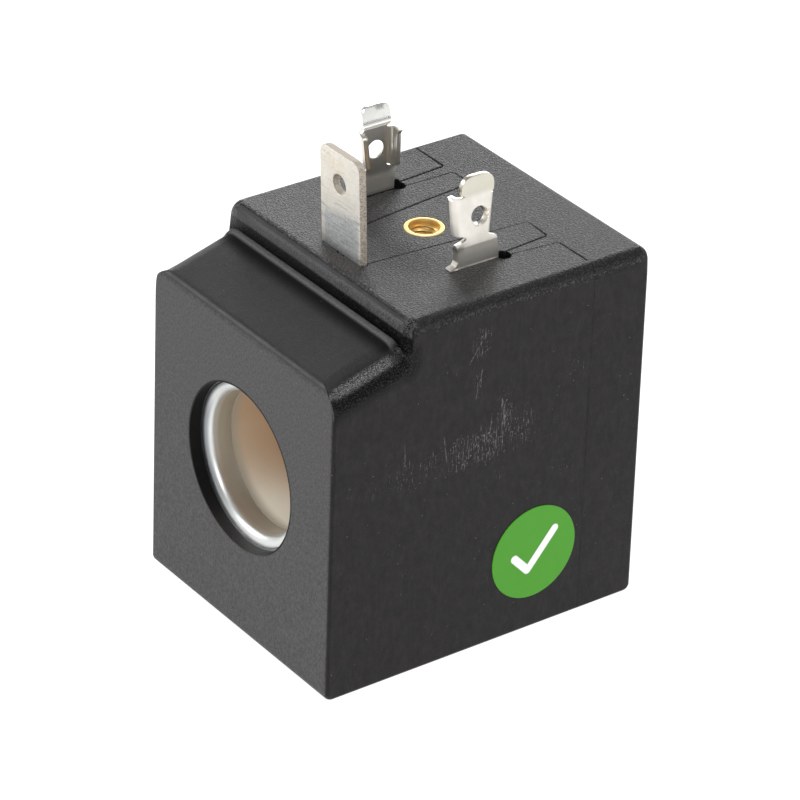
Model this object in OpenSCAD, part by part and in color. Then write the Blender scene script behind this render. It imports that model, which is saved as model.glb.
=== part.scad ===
// Solenoid valve coil, overmoulded, with three top blades and a through bore.
// Axes: X across the width, Y along the bore (the front mouth is at -Y), Z up to the blades.
// Origin: on the bore axis, half way along the body. Millimetres.

/* [Body] */
// Width of the moulded body
body_w = 30; // [29.8:0.1:32]
// Depth of the moulded body, along the bore
body_d = 36.4; // [36.2:0.1:38]
// Height of the moulded body without the blades
body_h = 37.9; // [37.6:0.1:39]
// Height of the bore axis above the underside
axis_h = 18.1; // [17.8:0.1:18.3]
// Height of the lower front part at its front edge
front_h = 33.4; // [33.2:0.1:33.8]
// Rise of the lower front part's top, in degrees
front_slope = 16; // [12:0.5:17]
// Distance from the front face to the upper block
step_y = 8.6; // [8.2:0.1:9]
// Rounding of the upright and lower edges
edge_r = 0.7; // [0.3:0.1:1]
// Rounding of the upper block's edges
top_r = 1.2; // [0.6:0.1:1.6]
// Rounding of the lower front part's side edges
side_r = 2.8; // [1:0.1:3]

/* [Bore] */
// Bore of the bobbin tube
bore_d = 14.3; // [13:0.1:14.6]
// Bore of the steel flux sleeves
sleeve_id = 14.3; // [14.3:0.1:14.8]
// Outside diameter of the flux sleeves
sleeve_od = 16.6; // [16.4:0.1:16.8]
// Mouth of the housing around each sleeve
mouth_d = 16.9; // [16.9:0.1:17.4]
// Depth of each mouth below the end face
mouth_depth = 1.3; // [1.1:0.1:1.5]
// Rounding of each sleeve's outer lip
lip_r = 0.8; // [0.3:0.1:0.9]

/* [Blades] */
// Width of the earth blade
ground_w = 6.3; // [4.8:0.1:6.4]
// Sheet thickness of the blades
blade_t = 0.8; // [0.6:0.1:0.9]
// Height of the earth blade above the top
ground_up = 10.4; // [9:0.1:12]
// Distance from the front face to the earth blade's front
ground_y = 11.2; // [11:0.1:11.6]
// Half the distance over the outer faces of the power blades
blade_x = 8.6; // [8.4:0.1:8.8]
// Sheet thickness of the formed upper part of the power blades
form_t = 0.5; // [0.4:0.05:0.6]
// Inward lean of the right blade's formed upper part, in degrees
lean = 8; // [4:0.5:10]
// Outward lean of the left blade's tongue, in degrees
tongue_lean = 14; // [0:1:18]
// Hole in each power blade
blade_hole = 1.9; // [1.2:0.1:2.1]
// Hole in the earth blade
ground_hole = 2.0; // [1.2:0.1:2.4]

/* [Screw insert] */
// Distance from the front face to the insert
insert_y = 20.8; // [20.6:0.1:21]
// Outside diameter of the insert
insert_od = 4.0; // [3.8:0.1:4.6]
// Length of the insert
insert_len = 3.8; // [3.6:0.1:3.9]
// Core diameter of the screw thread
insert_core = 2.5; // [2.4:0.05:2.6]
// Depth of the threaded hole below the counterbore
insert_depth = 3.0; // [2.4:0.1:3.2]

/* [Sticker] */
// Diameter of the round sticker
sticker_d = 9.9; // [8:0.1:10]
// Thickness of the sticker
sticker_t = 0.1; // [0.05:0.05:0.2]

/* [Hidden] */
$fn = 96;
y0 = -body_d / 2;          // front face
y1 = body_d / 2;           // rear face
zb = -axis_h;              // underside
zt = body_h - axis_h;      // top of the upper block
zf = front_h - axis_h;     // front edge of the lower front part
ys = y0 + step_y;          // front wall of the upper block
ins_y = y0 + insert_y;
gy = y0 + ground_y;

yoke_t = 2.7;              // yoke sheet
yoke_y = y1 - mouth_depth; // outer faces of the yoke legs
leg_y = yoke_y - yoke_t;   // inner faces of the yoke legs
web_z = 13.2;              // underside of the yoke web
web_w = 12.4;              // width of the yoke web
leg_w = 24;                // width of the yoke legs

tube_r = 8.5;              // outside of the bobbin tube
flange_r = 13.1;           // bobbin flanges
flange_t = 1.2;
wind_y = leg_y - flange_t; // inner faces of the flanges
wire_r = 12.1;             // outside of the wire pack
tape_r = 12.3;             // outside of the tape wrap
wire_d = 0.4;              // lead wire with enamel

lug_in = 6.6;              // terminal lugs on the rear flange
lug_out = 10.2;
lug_top = web_z + 2.4;
tail_z = web_z - 0.6;      // underside of the buried tails
tail_h = 2.4;
bend_z = zt + 2.1;         // bend between a blade's base and its formed part
base_y0 = ins_y - 2.45;    // the right blade's base, front and rear
base_y1 = ins_y + 2.25;
form_y0 = ins_y - 1.85;    // its formed part
form_y1 = ins_y + 1.65;
form_h = 5.2;
tongue_h = 1.83;
tongue_y0 = ins_y - 1.95;
tongue_y1 = ins_y + 2.05;
solder_r = 0.75;
lead_z = web_z + 0.6;

function arc(cy, cz, r, a0, a1, n = 5) =
    [for (i = [0:n]) let (a = a0 + (a1 - a0) * i / n) [cy + r * cos(a), cz + r * sin(a)]];

// ---- helpers ----

// Extrudes a (Y, Z) outline along X, centred on x = 0
module along_x(len) { rotate([90, 0, 90]) linear_extrude(len, center = true) children(); }

// Turned shape on the bore axis: outline is (radius, distance along +Y)
module on_bore() { rotate([-90, 0, 0]) rotate_extrude() children(); }

// Round bar along the bore axis
module bar_y(r, a, b) { translate([0, a, 0]) rotate([-90, 0, 0]) cylinder(r = r, h = b - a); }

// Straight piece of wire
module rod(a, b, r) {
    d = b - a;
    translate(a) rotate([0, acos(d[2] / norm(d)), atan2(d[1], d[0])]) cylinder(r = r, h = norm(d), $fn = 32);
}

module wire(pts, r) {
    for (i = [0:len(pts) - 2]) rod(pts[i], pts[i + 1], r);
    for (i = [1:len(pts) - 2]) translate(pts[i]) sphere(r = r, $fn = 32);
}

// Outline with four rounded corners, from (x0, y0) to (x1, y1)
module round_box(a, b, r) {
    translate([a[0] + r, a[1]]) square([b[0] - a[0] - 2 * r, b[1] - a[1]]);
    translate([a[0], a[1] + r]) square([b[0] - a[0], b[1] - a[1] - 2 * r]);
    for (x = [a[0] + r, b[0] - r]) for (y = [a[1] + r, b[1] - r]) translate([x, y]) circle(r = r);
}

// ---- housing ----

// Side outline of the body: lower front part, ridge and groove at the step, upper block
module side_outline() {
    s = tan(front_slope);
    polygon(concat(
        arc(y0 + edge_r, zb + edge_r, edge_r, 270, 180, 4),
        arc(y0 + 1.0, zf - 1.0, 1.0, 180, 90 + front_slope, 5),
        [[ys - 1.5, zf + (step_y - 2.5) * s],
         [ys - 1.25, zf + (step_y - 2.5) * s + 0.3],
         [ys - 0.9, zf + (step_y - 2.5) * s + 0.53],
         [ys - 0.65, zf + (step_y - 2.5) * s + 0.5],
         [ys - 0.45, zf + (step_y - 2.5) * s - 0.1],
         [ys - 0.2, zf + (step_y - 2.5) * s - 0.1],
         [ys, zf + (step_y - 2.5) * s + 0.6]],
        arc(ys + top_r, zt - top_r, top_r, 180, 90, 5),
        arc(y1 - top_r, zt - top_r, top_r, 90, 0, 5),
        arc(y1 - edge_r, zb + edge_r, edge_r, 360, 270, 4)));
}

// Cross outline: rounded more at the top than below
module front_outline() {
    w = body_w / 2;
    polygon(concat(
        arc(w - edge_r, zb + edge_r, edge_r, 270, 360, 4), arc(w - top_r, zt - top_r, top_r, 0, 90, 5),
        arc(-w + top_r, zt - top_r, top_r, 90, 180, 5), arc(-w + edge_r, zb + edge_r, edge_r, 180, 270, 4)));
}

// Rounds one side edge of the lower front part
module side_edge_cut(s) {
    intersection() {
        translate([s * (body_w / 2 - side_r), y0, zf - side_r]) rotate([front_slope, 0, 0]) difference() {
            translate([s > 0 ? 0 : -side_r - 1, -3, 0]) cube([side_r + 1, step_y + 4, side_r + 3]);
            translate([0, -4, 0]) rotate([-90, 0, 0]) cylinder(r = side_r, h = step_y + 6);
        }
        translate([-body_w, y0 - 5, zb]) cube([2 * body_w, 5 + step_y - 0.4, body_h]);
    }
}

module body_solid() {
    difference() {
        intersection() {
            along_x(body_w + 2) side_outline();
            translate([0, y1 + 1, 0]) rotate([90, 0, 0]) linear_extrude(body_d + 2) front_outline();
            translate([0, 0, zb - 1]) linear_extrude(body_h + 2)
                round_box([-body_w / 2, y0], [body_w / 2, y1], edge_r);
        }
        side_edge_cut(1);
        side_edge_cut(-1);
    }
}

module housing() {
    color([0.08, 0.08, 0.085]) difference() {
        body_solid();
        bar_y(mouth_d / 2, y0 - 1, -yoke_y);
        bar_y(mouth_d / 2, yoke_y, y1 + 1);
        bar_y(flange_r, -leg_y, -wind_y);
        bar_y(flange_r, wind_y, leg_y);
        bar_y(tape_r, -wind_y, wind_y);
        lug_blocks();
        yoke_solid();
        blade_root_right();
        blade_root_left();
        ground_shape();
        rivet_shape();
        translate([0, ins_y, zt - insert_len]) cylinder(d = insert_od, h = insert_len + 1);
        start_wire();
        finish_wire();
        finish_sleeving();
        translate([blade_x - blade_t, wind_y - 1.4, lead_z]) sphere(r = solder_r, $fn = 48);
        translate([-blade_x + blade_t, wind_y - 2.2, lead_z]) rotate([0, 0, 180]) sphere(r = solder_r, $fn = 48);
    }
}

// ---- coil ----

module lug_blocks() {
    for (s = [-1, 1]) translate([s > 0 ? lug_in : -lug_out, wind_y, 4])
        cube([lug_out - lug_in, flange_t, lug_top - 4]);
}

module bobbin() {
    color([0.93, 0.86, 0.74]) difference() {
        union() {
            bar_y(tube_r, -leg_y, leg_y);
            bar_y(flange_r, -leg_y, -wind_y);
            bar_y(flange_r, wind_y, leg_y);
            lug_blocks();
        }
        bar_y(bore_d / 2, -leg_y - 1, leg_y + 1);
        // slots for the terminal tails
        for (s = [-1, 1]) translate([s > 0 ? blade_x - blade_t : -blade_x, wind_y - 1, tail_z])
            cube([blade_t, flange_t + 2, 6]);
        // slot for the start lead
        translate([6.9, wind_y - 1, 5]) cube([0.5, flange_t + 2, 14]);
    }
}

module winding() {
    color([0.72, 0.36, 0.16]) difference() {
        bar_y(wire_r, -wind_y, wind_y - 0.15);
        bar_y(tube_r, -wind_y - 1, wind_y + 1);
    }
}

module winding_tape() {
    color([0.86, 0.78, 0.35]) difference() {
        bar_y(tape_r, -wind_y, wind_y);
        bar_y(wire_r, -wind_y - 1, wind_y + 1);
        translate([-7.15, wind_y - 2.2, 8]) cylinder(d = wire_d, h = 6, $fn = 32);
    }
}

module start_wire() {
    wire([[7.15, wind_y + 0.6, 5.4], [7.15, wind_y + 0.6, lead_z], [7.15, wind_y - 1.0, lead_z],
          [blade_x - blade_t - 0.2, wind_y - 1.4, lead_z]], wire_d / 2);
}

module start_lead() { color([0.75, 0.36, 0.15]) start_wire(); }

module start_lead_patch() {
    color([0.86, 0.78, 0.35]) intersection() {
        translate([5.9, wind_y - 0.15, 4.0]) cube([2.5, 0.15, 8]);
        difference() {
            bar_y(wire_r, wind_y - 1, wind_y + 1);
            bar_y(tube_r, wind_y - 2, wind_y + 2);
        }
    }
}

module finish_wire() {
    wire([[-7.15, wind_y - 2.2, 9.9], [-7.15, wind_y - 2.2, lead_z],
          [-blade_x + blade_t + 0.2, wind_y - 2.2, lead_z]], wire_d / 2);
}

module finish_lead() {
    color([0.75, 0.36, 0.15]) difference() {
        finish_wire();
        bar_y(wire_r, 0, wind_y);
    }
}

module finish_sleeving() { translate([-7.15, wind_y - 2.2, 10.6]) cylinder(r = 0.45, h = 2.3, $fn = 32); }

module finish_lead_sleeve() {
    color([0.35, 0.16, 0.1]) difference() {
        finish_sleeving();
        translate([-7.15, wind_y - 2.2, 8]) cylinder(d = wire_d, h = 6, $fn = 32);
    }
}

module solder_right() {
    color([0.75, 0.75, 0.74]) difference() {
        translate([blade_x - blade_t, wind_y - 1.4, lead_z]) sphere(r = solder_r, $fn = 48);
        translate([blade_x - blade_t, wind_y - 4, lead_z - 3]) cube(6);
        start_wire();
    }
}

module solder_left() {
    color([0.75, 0.75, 0.74]) difference() {
        translate([-blade_x + blade_t, wind_y - 2.2, lead_z]) rotate([0, 0, 180]) sphere(r = solder_r, $fn = 48);
        translate([-blade_x + blade_t - 6, wind_y - 5, lead_z - 3]) cube(6);
        finish_wire();
    }
}

// ---- blades ----

// Buried tail and riser of a power blade, as a (Y, Z) outline
module root_outline(a, b) {
    polygon([[a, tail_z], [leg_y - 0.2, tail_z], [leg_y - 0.2, tail_z + tail_h],
             [b, tail_z + tail_h], [b, bend_z], [a, bend_z]]);
}

module blade_root_right() {
    translate([blade_x - blade_t / 2, 0, 0]) along_x(blade_t) root_outline(base_y0, base_y1);
}

module blade_root_left() {
    translate([-blade_x + blade_t / 2, 0, 0]) along_x(blade_t)
        root_outline(2 * ins_y - base_y1, 2 * ins_y - base_y0);
}

// Formed upper part of a power blade: plate leaning inward by tilt, side wing, small flange,
// a tongue leaning outward by tip, and a foot on request
module blade_form(tilt, tip, foot) {
    translate([blade_x, 0, bend_z]) rotate([0, -tilt, 0]) {
        translate([-form_t / 2, 0, 0]) along_x(form_t) difference() {
            union() {
                translate([form_y0, 0]) square([form_y1 - form_y0, form_h]);
                translate([base_y0, 0]) square([base_y1 - base_y0, 0.4]);
            }
            translate([ins_y + 0.05, 2.75]) circle(d = blade_hole);
        }
        // side wing
        translate([0, form_y0 + form_t, 0]) rotate([90, 0, 0]) linear_extrude(form_t)
            polygon([[0, 0.8], [-1.9, 0.7], [-1.9, 4.25], [-2.15, 4.5], [-0.6, 4.9], [0, 4.9]]);
        // small flange
        translate([0, form_y1, 0]) rotate([90, 0, 0]) linear_extrude(form_t)
            polygon([[0, 1.0], [-0.95, 1.0], [-0.95, 4.5], [0, 4.5]]);
        // tongue
        translate([0, 0, form_h - 0.2]) rotate([0, tilt + tip, 0]) translate([-form_t / 2, 0, 0]) along_x(form_t)
            union() {
                translate([tongue_y0, 0]) square([tongue_y1 - tongue_y0, tongue_h - 1.2]);
                translate([tongue_y0 + 1.2, 0]) square([tongue_y1 - tongue_y0 - 2.4, tongue_h]);
                for (y = [tongue_y0 + 1.2, tongue_y1 - 1.2]) translate([y, tongue_h - 1.2]) circle(r = 1.2);
            }
    }
    // foot at the front of the base
    if (foot) translate([blade_x - blade_t / 2, 0, 0]) along_x(blade_t)
        polygon([[base_y0 - 0.9, zt], [base_y0 + 0.1, zt], [base_y0 + 0.1, zt + 0.9], [base_y0, zt + 0.7]]);
}

module terminal_right() { color([0.82, 0.82, 0.8]) { blade_root_right(); blade_form(lean, 0, true); } }

module terminal_left() {
    color([0.82, 0.82, 0.8]) {
        blade_root_left();
        translate([0, 2 * ins_y, 0]) rotate([0, 0, 180]) blade_form(0, tongue_lean, false);
    }
}

// Earth blade with its foot on the yoke web
module ground_shape() {
    w = ground_w / 2;
    z2 = zt + ground_up;
    foot_z = web_z + yoke_t;
    translate([0, gy + blade_t, 0]) rotate([90, 0, 0]) linear_extrude(blade_t) difference() {
        polygon([[-w, foot_z], [w, foot_z], [w, z2 - 1.2], [w - 0.35, z2 - 0.55], [w - 1.4, z2],
                 [-w + 1.1, z2], [-w + 0.3, z2 - 0.3], [-w, z2 - 0.9]]);
        translate([0, zt + 7.1]) circle(d = ground_hole);
    }
    translate([-w, gy, foot_z]) cube([ground_w, 6.1, blade_t]);
}

module rivet_shape() {
    translate([0, gy + 3.6, web_z - 0.7]) {
        cylinder(r = 1.1, h = yoke_t + blade_t + 1.4, $fn = 48);
        cylinder(r1 = 1.5, r2 = 1.9, h = 0.7, $fn = 48);
        translate([0, 0, yoke_t + blade_t + 0.7]) cylinder(r1 = 1.9, r2 = 1.4, h = 0.7, $fn = 48);
    }
}

module ground_tab() {
    color([0.82, 0.82, 0.8]) difference() {
        ground_shape();
        rivet_shape();
    }
}

module ground_rivet() { color([0.7, 0.7, 0.7]) rivet_shape(); }

// ---- magnetic circuit ----

// U yoke with closed legs
module yoke_solid() {
    ro = 3.0;
    intersection() {
        difference() {
            along_x(leg_w) polygon(concat([[-yoke_y, -12.8]],
                arc(-yoke_y + ro, web_z + yoke_t - ro, ro, 180, 90, 6),
                arc(yoke_y - ro, web_z + yoke_t - ro, ro, 90, 0, 6), [[yoke_y, -12.8]]));
            along_x(leg_w + 2) polygon([[-leg_y, -14], [-leg_y, web_z], [leg_y, web_z], [leg_y, -14]]);
        }
        translate([0, y1, 0]) rotate([90, 0, 0]) linear_extrude(body_d) union() {
            round_box([-leg_w / 2, -12.8], [leg_w / 2, 9.5], 2);
            translate([-web_w / 2, 0]) square([web_w, web_z + yoke_t + 1]);
        }
    }
}

module yoke_frame() {
    color([0.62, 0.63, 0.65]) difference() {
        yoke_solid();
        bar_y(sleeve_od / 2, -y1, y1);
        rivet_shape();
    }
}

module sleeve_ring() {
    on_bore() difference() {
        translate([sleeve_id / 2, 0]) square([(sleeve_od - sleeve_id) / 2, yoke_t]);
        difference() {
            translate([sleeve_id / 2 - 1, -1]) square([lip_r + 1, lip_r + 1]);
            translate([sleeve_id / 2 + lip_r, lip_r]) circle(r = lip_r);
        }
    }
}

module front_flux_sleeve() { color([0.78, 0.8, 0.8]) translate([0, -yoke_y, 0]) sleeve_ring(); }

module rear_flux_sleeve() { color([0.78, 0.8, 0.8]) translate([0, yoke_y, 0]) mirror([0, 1, 0]) sleeve_ring(); }

// ---- insert and sticker ----

module thread_insert() {
    color([0.85, 0.65, 0.2]) translate([0, ins_y, zt - insert_len]) difference() {
        cylinder(d = insert_od, h = insert_len);
        translate([0, 0, insert_len - 0.4 - insert_depth]) cylinder(d = insert_core, h = insert_depth + 1);
        translate([0, 0, insert_len - 0.4]) cylinder(d1 = insert_core + 0.3, d2 = insert_core + 0.5, h = 0.41);
    }
}

module inspection_sticker() {
    color([0.25, 0.62, 0.2]) translate([body_w / 2, y0 + 24.0, zb + 8.6]) rotate([0, 90, 0])
        cylinder(d = sticker_d, h = sticker_t);
}

housing();
bobbin();
winding();
winding_tape();
start_lead();
start_lead_patch();
finish_lead();
finish_lead_sleeve();
solder_right();
solder_left();
terminal_right();
terminal_left();
ground_tab();
ground_rivet();
yoke_frame();
front_flux_sleeve();
rear_flux_sleeve();
thread_insert();
inspection_sticker();
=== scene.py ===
# Solenoid valve coil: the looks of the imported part.
# The scene is in metres. The mesh code below works in millimetres, in the part's own frame, and scales at the end.
import math

import bmesh
import bpy
import numpy as np
from mathutils import Matrix, Vector, noise


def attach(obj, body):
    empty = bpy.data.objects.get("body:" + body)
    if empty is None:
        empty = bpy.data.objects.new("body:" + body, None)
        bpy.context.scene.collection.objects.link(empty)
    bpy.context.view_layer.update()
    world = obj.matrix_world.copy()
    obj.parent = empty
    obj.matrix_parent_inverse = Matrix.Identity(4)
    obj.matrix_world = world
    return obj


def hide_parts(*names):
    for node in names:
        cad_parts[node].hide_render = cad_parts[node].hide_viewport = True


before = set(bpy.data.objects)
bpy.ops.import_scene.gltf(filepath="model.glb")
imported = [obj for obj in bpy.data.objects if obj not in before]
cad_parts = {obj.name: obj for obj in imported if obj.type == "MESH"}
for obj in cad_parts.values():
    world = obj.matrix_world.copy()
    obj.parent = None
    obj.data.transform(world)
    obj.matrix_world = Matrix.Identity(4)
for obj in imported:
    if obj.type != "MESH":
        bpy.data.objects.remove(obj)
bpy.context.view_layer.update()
scene = bpy.context.scene

# ---------------------------------------------------------------- main sizes, mm
Y0, Y1 = -18.2, 18.2           # end faces
ZB, ZT = -18.1, 19.8           # underside, top of the upper block
W_LOW, W_TOP = 15.0, 14.8      # half width at the underside and at the top
INS_Y = 2.6                    # screw insert
BEND_Z = 21.9                  # bend of the power blades


def half_width(z):
    return W_LOW + (W_TOP - W_LOW) * (z - ZB) / (ZT - ZB)


# ---------------------------------------------------------------- mesh helpers
def new_object(name, verts, faces):
    me = bpy.data.meshes.new(name)
    me.from_pydata([tuple(float(c) for c in v) for v in verts], [], [list(f) for f in faces])
    me.update()
    ob = bpy.data.objects.new(name, me)
    scene.collection.objects.link(ob)
    return ob


def fix_normals(ob):
    bm = bmesh.new()
    bm.from_mesh(ob.data)
    bmesh.ops.recalc_face_normals(bm, faces=bm.faces)
    bm.to_mesh(ob.data)
    bm.free()


def drop(ob):
    me = ob.data
    bpy.data.objects.remove(ob)
    bpy.data.meshes.remove(me)


def apply_modifiers(ob):
    dg = bpy.context.evaluated_depsgraph_get()
    me = bpy.data.meshes.new_from_object(ob.evaluated_get(dg))
    old = ob.data
    ob.modifiers.clear()
    ob.data = me
    bpy.data.meshes.remove(old)


def boolean(ob, other, op="DIFFERENCE"):
    m = ob.modifiers.new("bool", "BOOLEAN")
    m.operation = op
    m.solver = "EXACT"
    m.object = other
    apply_modifiers(ob)
    drop(other)
    return ob


def union_all(obs):
    first = obs[0]
    for o in obs[1:]:
        boolean(first, o, "UNION")
    return first


def prism(name, outline, a, b, axis):
    """Closed prism: a 2D outline run along an axis from a to b. The outline is (Y,Z) for X, (X,Z) for Y, (X,Y) for Z."""
    def at(p, h):
        return {"X": (h, p[0], p[1]), "Y": (p[0], h, p[1]), "Z": (p[0], p[1], h)}[axis]
    n = len(outline)
    verts = [at(p, a) for p in outline] + [at(p, b) for p in outline]
    faces = [list(range(n)), list(range(n, 2 * n))]
    faces += [[i, (i + 1) % n, n + (i + 1) % n, n + i] for i in range(n)]
    ob = new_object(name, verts, faces)
    fix_normals(ob)
    return ob


def block(name, lo, hi):
    return prism(name, [(lo[0], lo[1]), (hi[0], lo[1]), (hi[0], hi[1]), (lo[0], hi[1])], lo[2], hi[2], "Z")


def revolve(name, outline, steps, axis="Y", centre=(0, 0, 0), closed=False):
    """Turns an outline of (radius, height) about an axis. A closed outline makes a ring, an open one ends on the axis."""
    verts, faces, rows = [], [], []
    for r, h in outline:
        if r < 1e-9:
            verts.append((0, 0, h))
            rows.append([len(verts) - 1] * steps)
        else:
            row = []
            for k in range(steps):
                t = 2 * math.pi * k / steps
                verts.append((r * math.cos(t), r * math.sin(t), h))
                row.append(len(verts) - 1)
            rows.append(row)
    pairs = list(zip(rows, rows[1:])) + ([(rows[-1], rows[0])] if closed else [])
    for a, b in pairs:
        for k in range(steps):
            f = [a[k], a[(k + 1) % steps], b[(k + 1) % steps], b[k]]
            f = [v for i, v in enumerate(f) if v not in f[:i]]
            if len(f) > 2:
                faces.append(f)
    if axis == "Y":
        verts = [(x, h, y) for x, y, h in verts]
    verts = [(x + centre[0], y + centre[1], z + centre[2]) for x, y, z in verts]
    ob = new_object(name, verts, faces)
    fix_normals(ob)
    return ob


def arc(c, r, a0, a1, n):
    return [(c[0] + r * math.cos(math.radians(a0 + (a1 - a0) * i / n)),
             c[1] + r * math.sin(math.radians(a0 + (a1 - a0) * i / n))) for i in range(n + 1)]


def finish_mesh(ob, sharp=35, weighted=True):
    """To metres, smooth shading with crisp creases, flat faces kept flat."""
    me = ob.data
    me.transform(Matrix.Scale(0.001, 4))
    for p in me.polygons:
        p.use_smooth = True
    me.set_sharp_from_angle(angle=math.radians(sharp))
    if weighted:
        m = ob.modifiers.new("flat faces", "WEIGHTED_NORMAL")
        m.mode = "FACE_AREA"
        m.keep_sharp = True
        m.weight = 100
    me.update()
    return ob


def set_material(ob, mat):
    ob.data.materials.clear()
    ob.data.materials.append(mat)


# ---------------------------------------------------------------- node helpers
class Graph:
    def __init__(self, name):
        self.mat = bpy.data.materials.new(name)
        self.mat.use_nodes = True
        self.nt = self.mat.node_tree
        self.nt.nodes.clear()
        self.out = self.nt.nodes.new("ShaderNodeOutputMaterial")
        self.bsdf = self.nt.nodes.new("ShaderNodeBsdfPrincipled")
        self.nt.links.new(self.bsdf.outputs[0], self.out.inputs[0])
        tc = self.nt.nodes.new("ShaderNodeTexCoord")
        sc = self.nt.nodes.new("ShaderNodeVectorMath")
        sc.operation = "SCALE"
        sc.inputs[3].default_value = 1000.0
        self.nt.links.new(tc.outputs["Object"], sc.inputs[0])
        self.P = sc.outputs[0]                      # millimetres
        sep = self.nt.nodes.new("ShaderNodeSeparateXYZ")
        self.nt.links.new(self.P, sep.inputs[0])
        self.X, self.Y, self.Z = sep.outputs
        self._n = None

    def plug(self, sock, v):
        if isinstance(v, bpy.types.NodeSocket):
            self.nt.links.new(v, sock)
        else:
            sock.default_value = v

    def set(self, **kw):
        for k, v in kw.items():
            self.plug(self.bsdf.inputs[k.replace("_", " ")], v)

    def normal(self):
        if self._n is None:
            g = self.nt.nodes.new("ShaderNodeNewGeometry")
            s = self.nt.nodes.new("ShaderNodeSeparateXYZ")
            self.nt.links.new(g.outputs["Normal"], s.inputs[0])
            self._n = s.outputs
        return self._n

    def m(self, op, a, b=None, c=None, clamp=False):
        n = self.nt.nodes.new("ShaderNodeMath")
        n.operation = op
        n.use_clamp = clamp
        for i, v in enumerate((a, b, c)):
            if v is not None:
                self.plug(n.inputs[i], v)
        return n.outputs[0]

    def add(self, a, b): return self.m("ADD", a, b)
    def sub(self, a, b): return self.m("SUBTRACT", a, b)
    def mul(self, a, b): return self.m("MULTIPLY", a, b)
    def mx(self, a, b): return self.m("MAXIMUM", a, b)
    def mn(self, a, b): return self.m("MINIMUM", a, b)

    def step(self, v, a, b, lo=0.0, hi=1.0):
        n = self.nt.nodes.new("ShaderNodeMapRange")
        n.interpolation_type = "SMOOTHSTEP"
        self.plug(n.inputs[0], v)
        for i, x in zip((1, 2, 3, 4), (a, b, lo, hi)):
            self.plug(n.inputs[i], x)
        return n.outputs[0]

    def lin(self, v, a, b, lo=0.0, hi=1.0):
        n = self.nt.nodes.new("ShaderNodeMapRange")
        self.plug(n.inputs[0], v)
        for i, x in zip((1, 2, 3, 4), (a, b, lo, hi)):
            self.plug(n.inputs[i], x)
        return n.outputs[0]

    def stretch(self, sx, sy, sz, off=(0, 0, 0)):
        n = self.nt.nodes.new("ShaderNodeMapping")
        self.plug(n.inputs[0], self.P)
        n.inputs["Scale"].default_value = (sx, sy, sz)
        n.inputs["Location"].default_value = off
        return n.outputs[0]

    def noise(self, vec, scale, detail=2.0, rough=0.5, dist=0.0):
        n = self.nt.nodes.new("ShaderNodeTexNoise")
        self.plug(n.inputs["Vector"], vec)
        n.inputs["Scale"].default_value = scale
        n.inputs["Detail"].default_value = detail
        n.inputs["Roughness"].default_value = rough
        n.inputs["Distortion"].default_value = dist
        return n.outputs[0]

    def cells(self, vec, scale, feature="F1", rand=1.0):
        n = self.nt.nodes.new("ShaderNodeTexVoronoi")
        n.feature = feature
        self.plug(n.inputs["Vector"], vec)
        n.inputs["Scale"].default_value = scale
        n.inputs["Randomness"].default_value = rand
        return n.outputs["Distance"]

    def mix(self, f, a, b):
        n = self.nt.nodes.new("ShaderNodeMix")
        n.data_type = "RGBA"
        self.plug(n.inputs[0], f)
        self.plug(n.inputs[6], (*a, 1) if isinstance(a, tuple) else a)
        self.plug(n.inputs[7], (*b, 1) if isinstance(b, tuple) else b)
        return n.outputs[2]

    def mixf(self, f, a, b):
        n = self.nt.nodes.new("ShaderNodeMix")
        n.data_type = "FLOAT"
        self.plug(n.inputs[0], f)
        self.plug(n.inputs[2], a)
        self.plug(n.inputs[3], b)
        return n.outputs[0]

    def bump(self, height, mm, strength=1.0, normal=None):
        n = self.nt.nodes.new("ShaderNodeBump")
        n.inputs["Strength"].default_value = strength
        n.inputs["Distance"].default_value = mm * 0.001
        self.plug(n.inputs["Height"], height)
        if normal is not None:
            self.plug(n.inputs["Normal"], normal)
        return n.outputs[0]

    def spot(self, u, v, cu, cv, ru, rv, soft=0.6):
        """1 inside an ellipse, falling to 0 at its rim."""
        a = self.m("POWER", self.m("DIVIDE", self.sub(u, cu), ru), 2.0)
        b = self.m("POWER", self.m("DIVIDE", self.sub(v, cv), rv), 2.0)
        return self.step(self.add(a, b), 1.0, 1.0 - soft)


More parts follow.
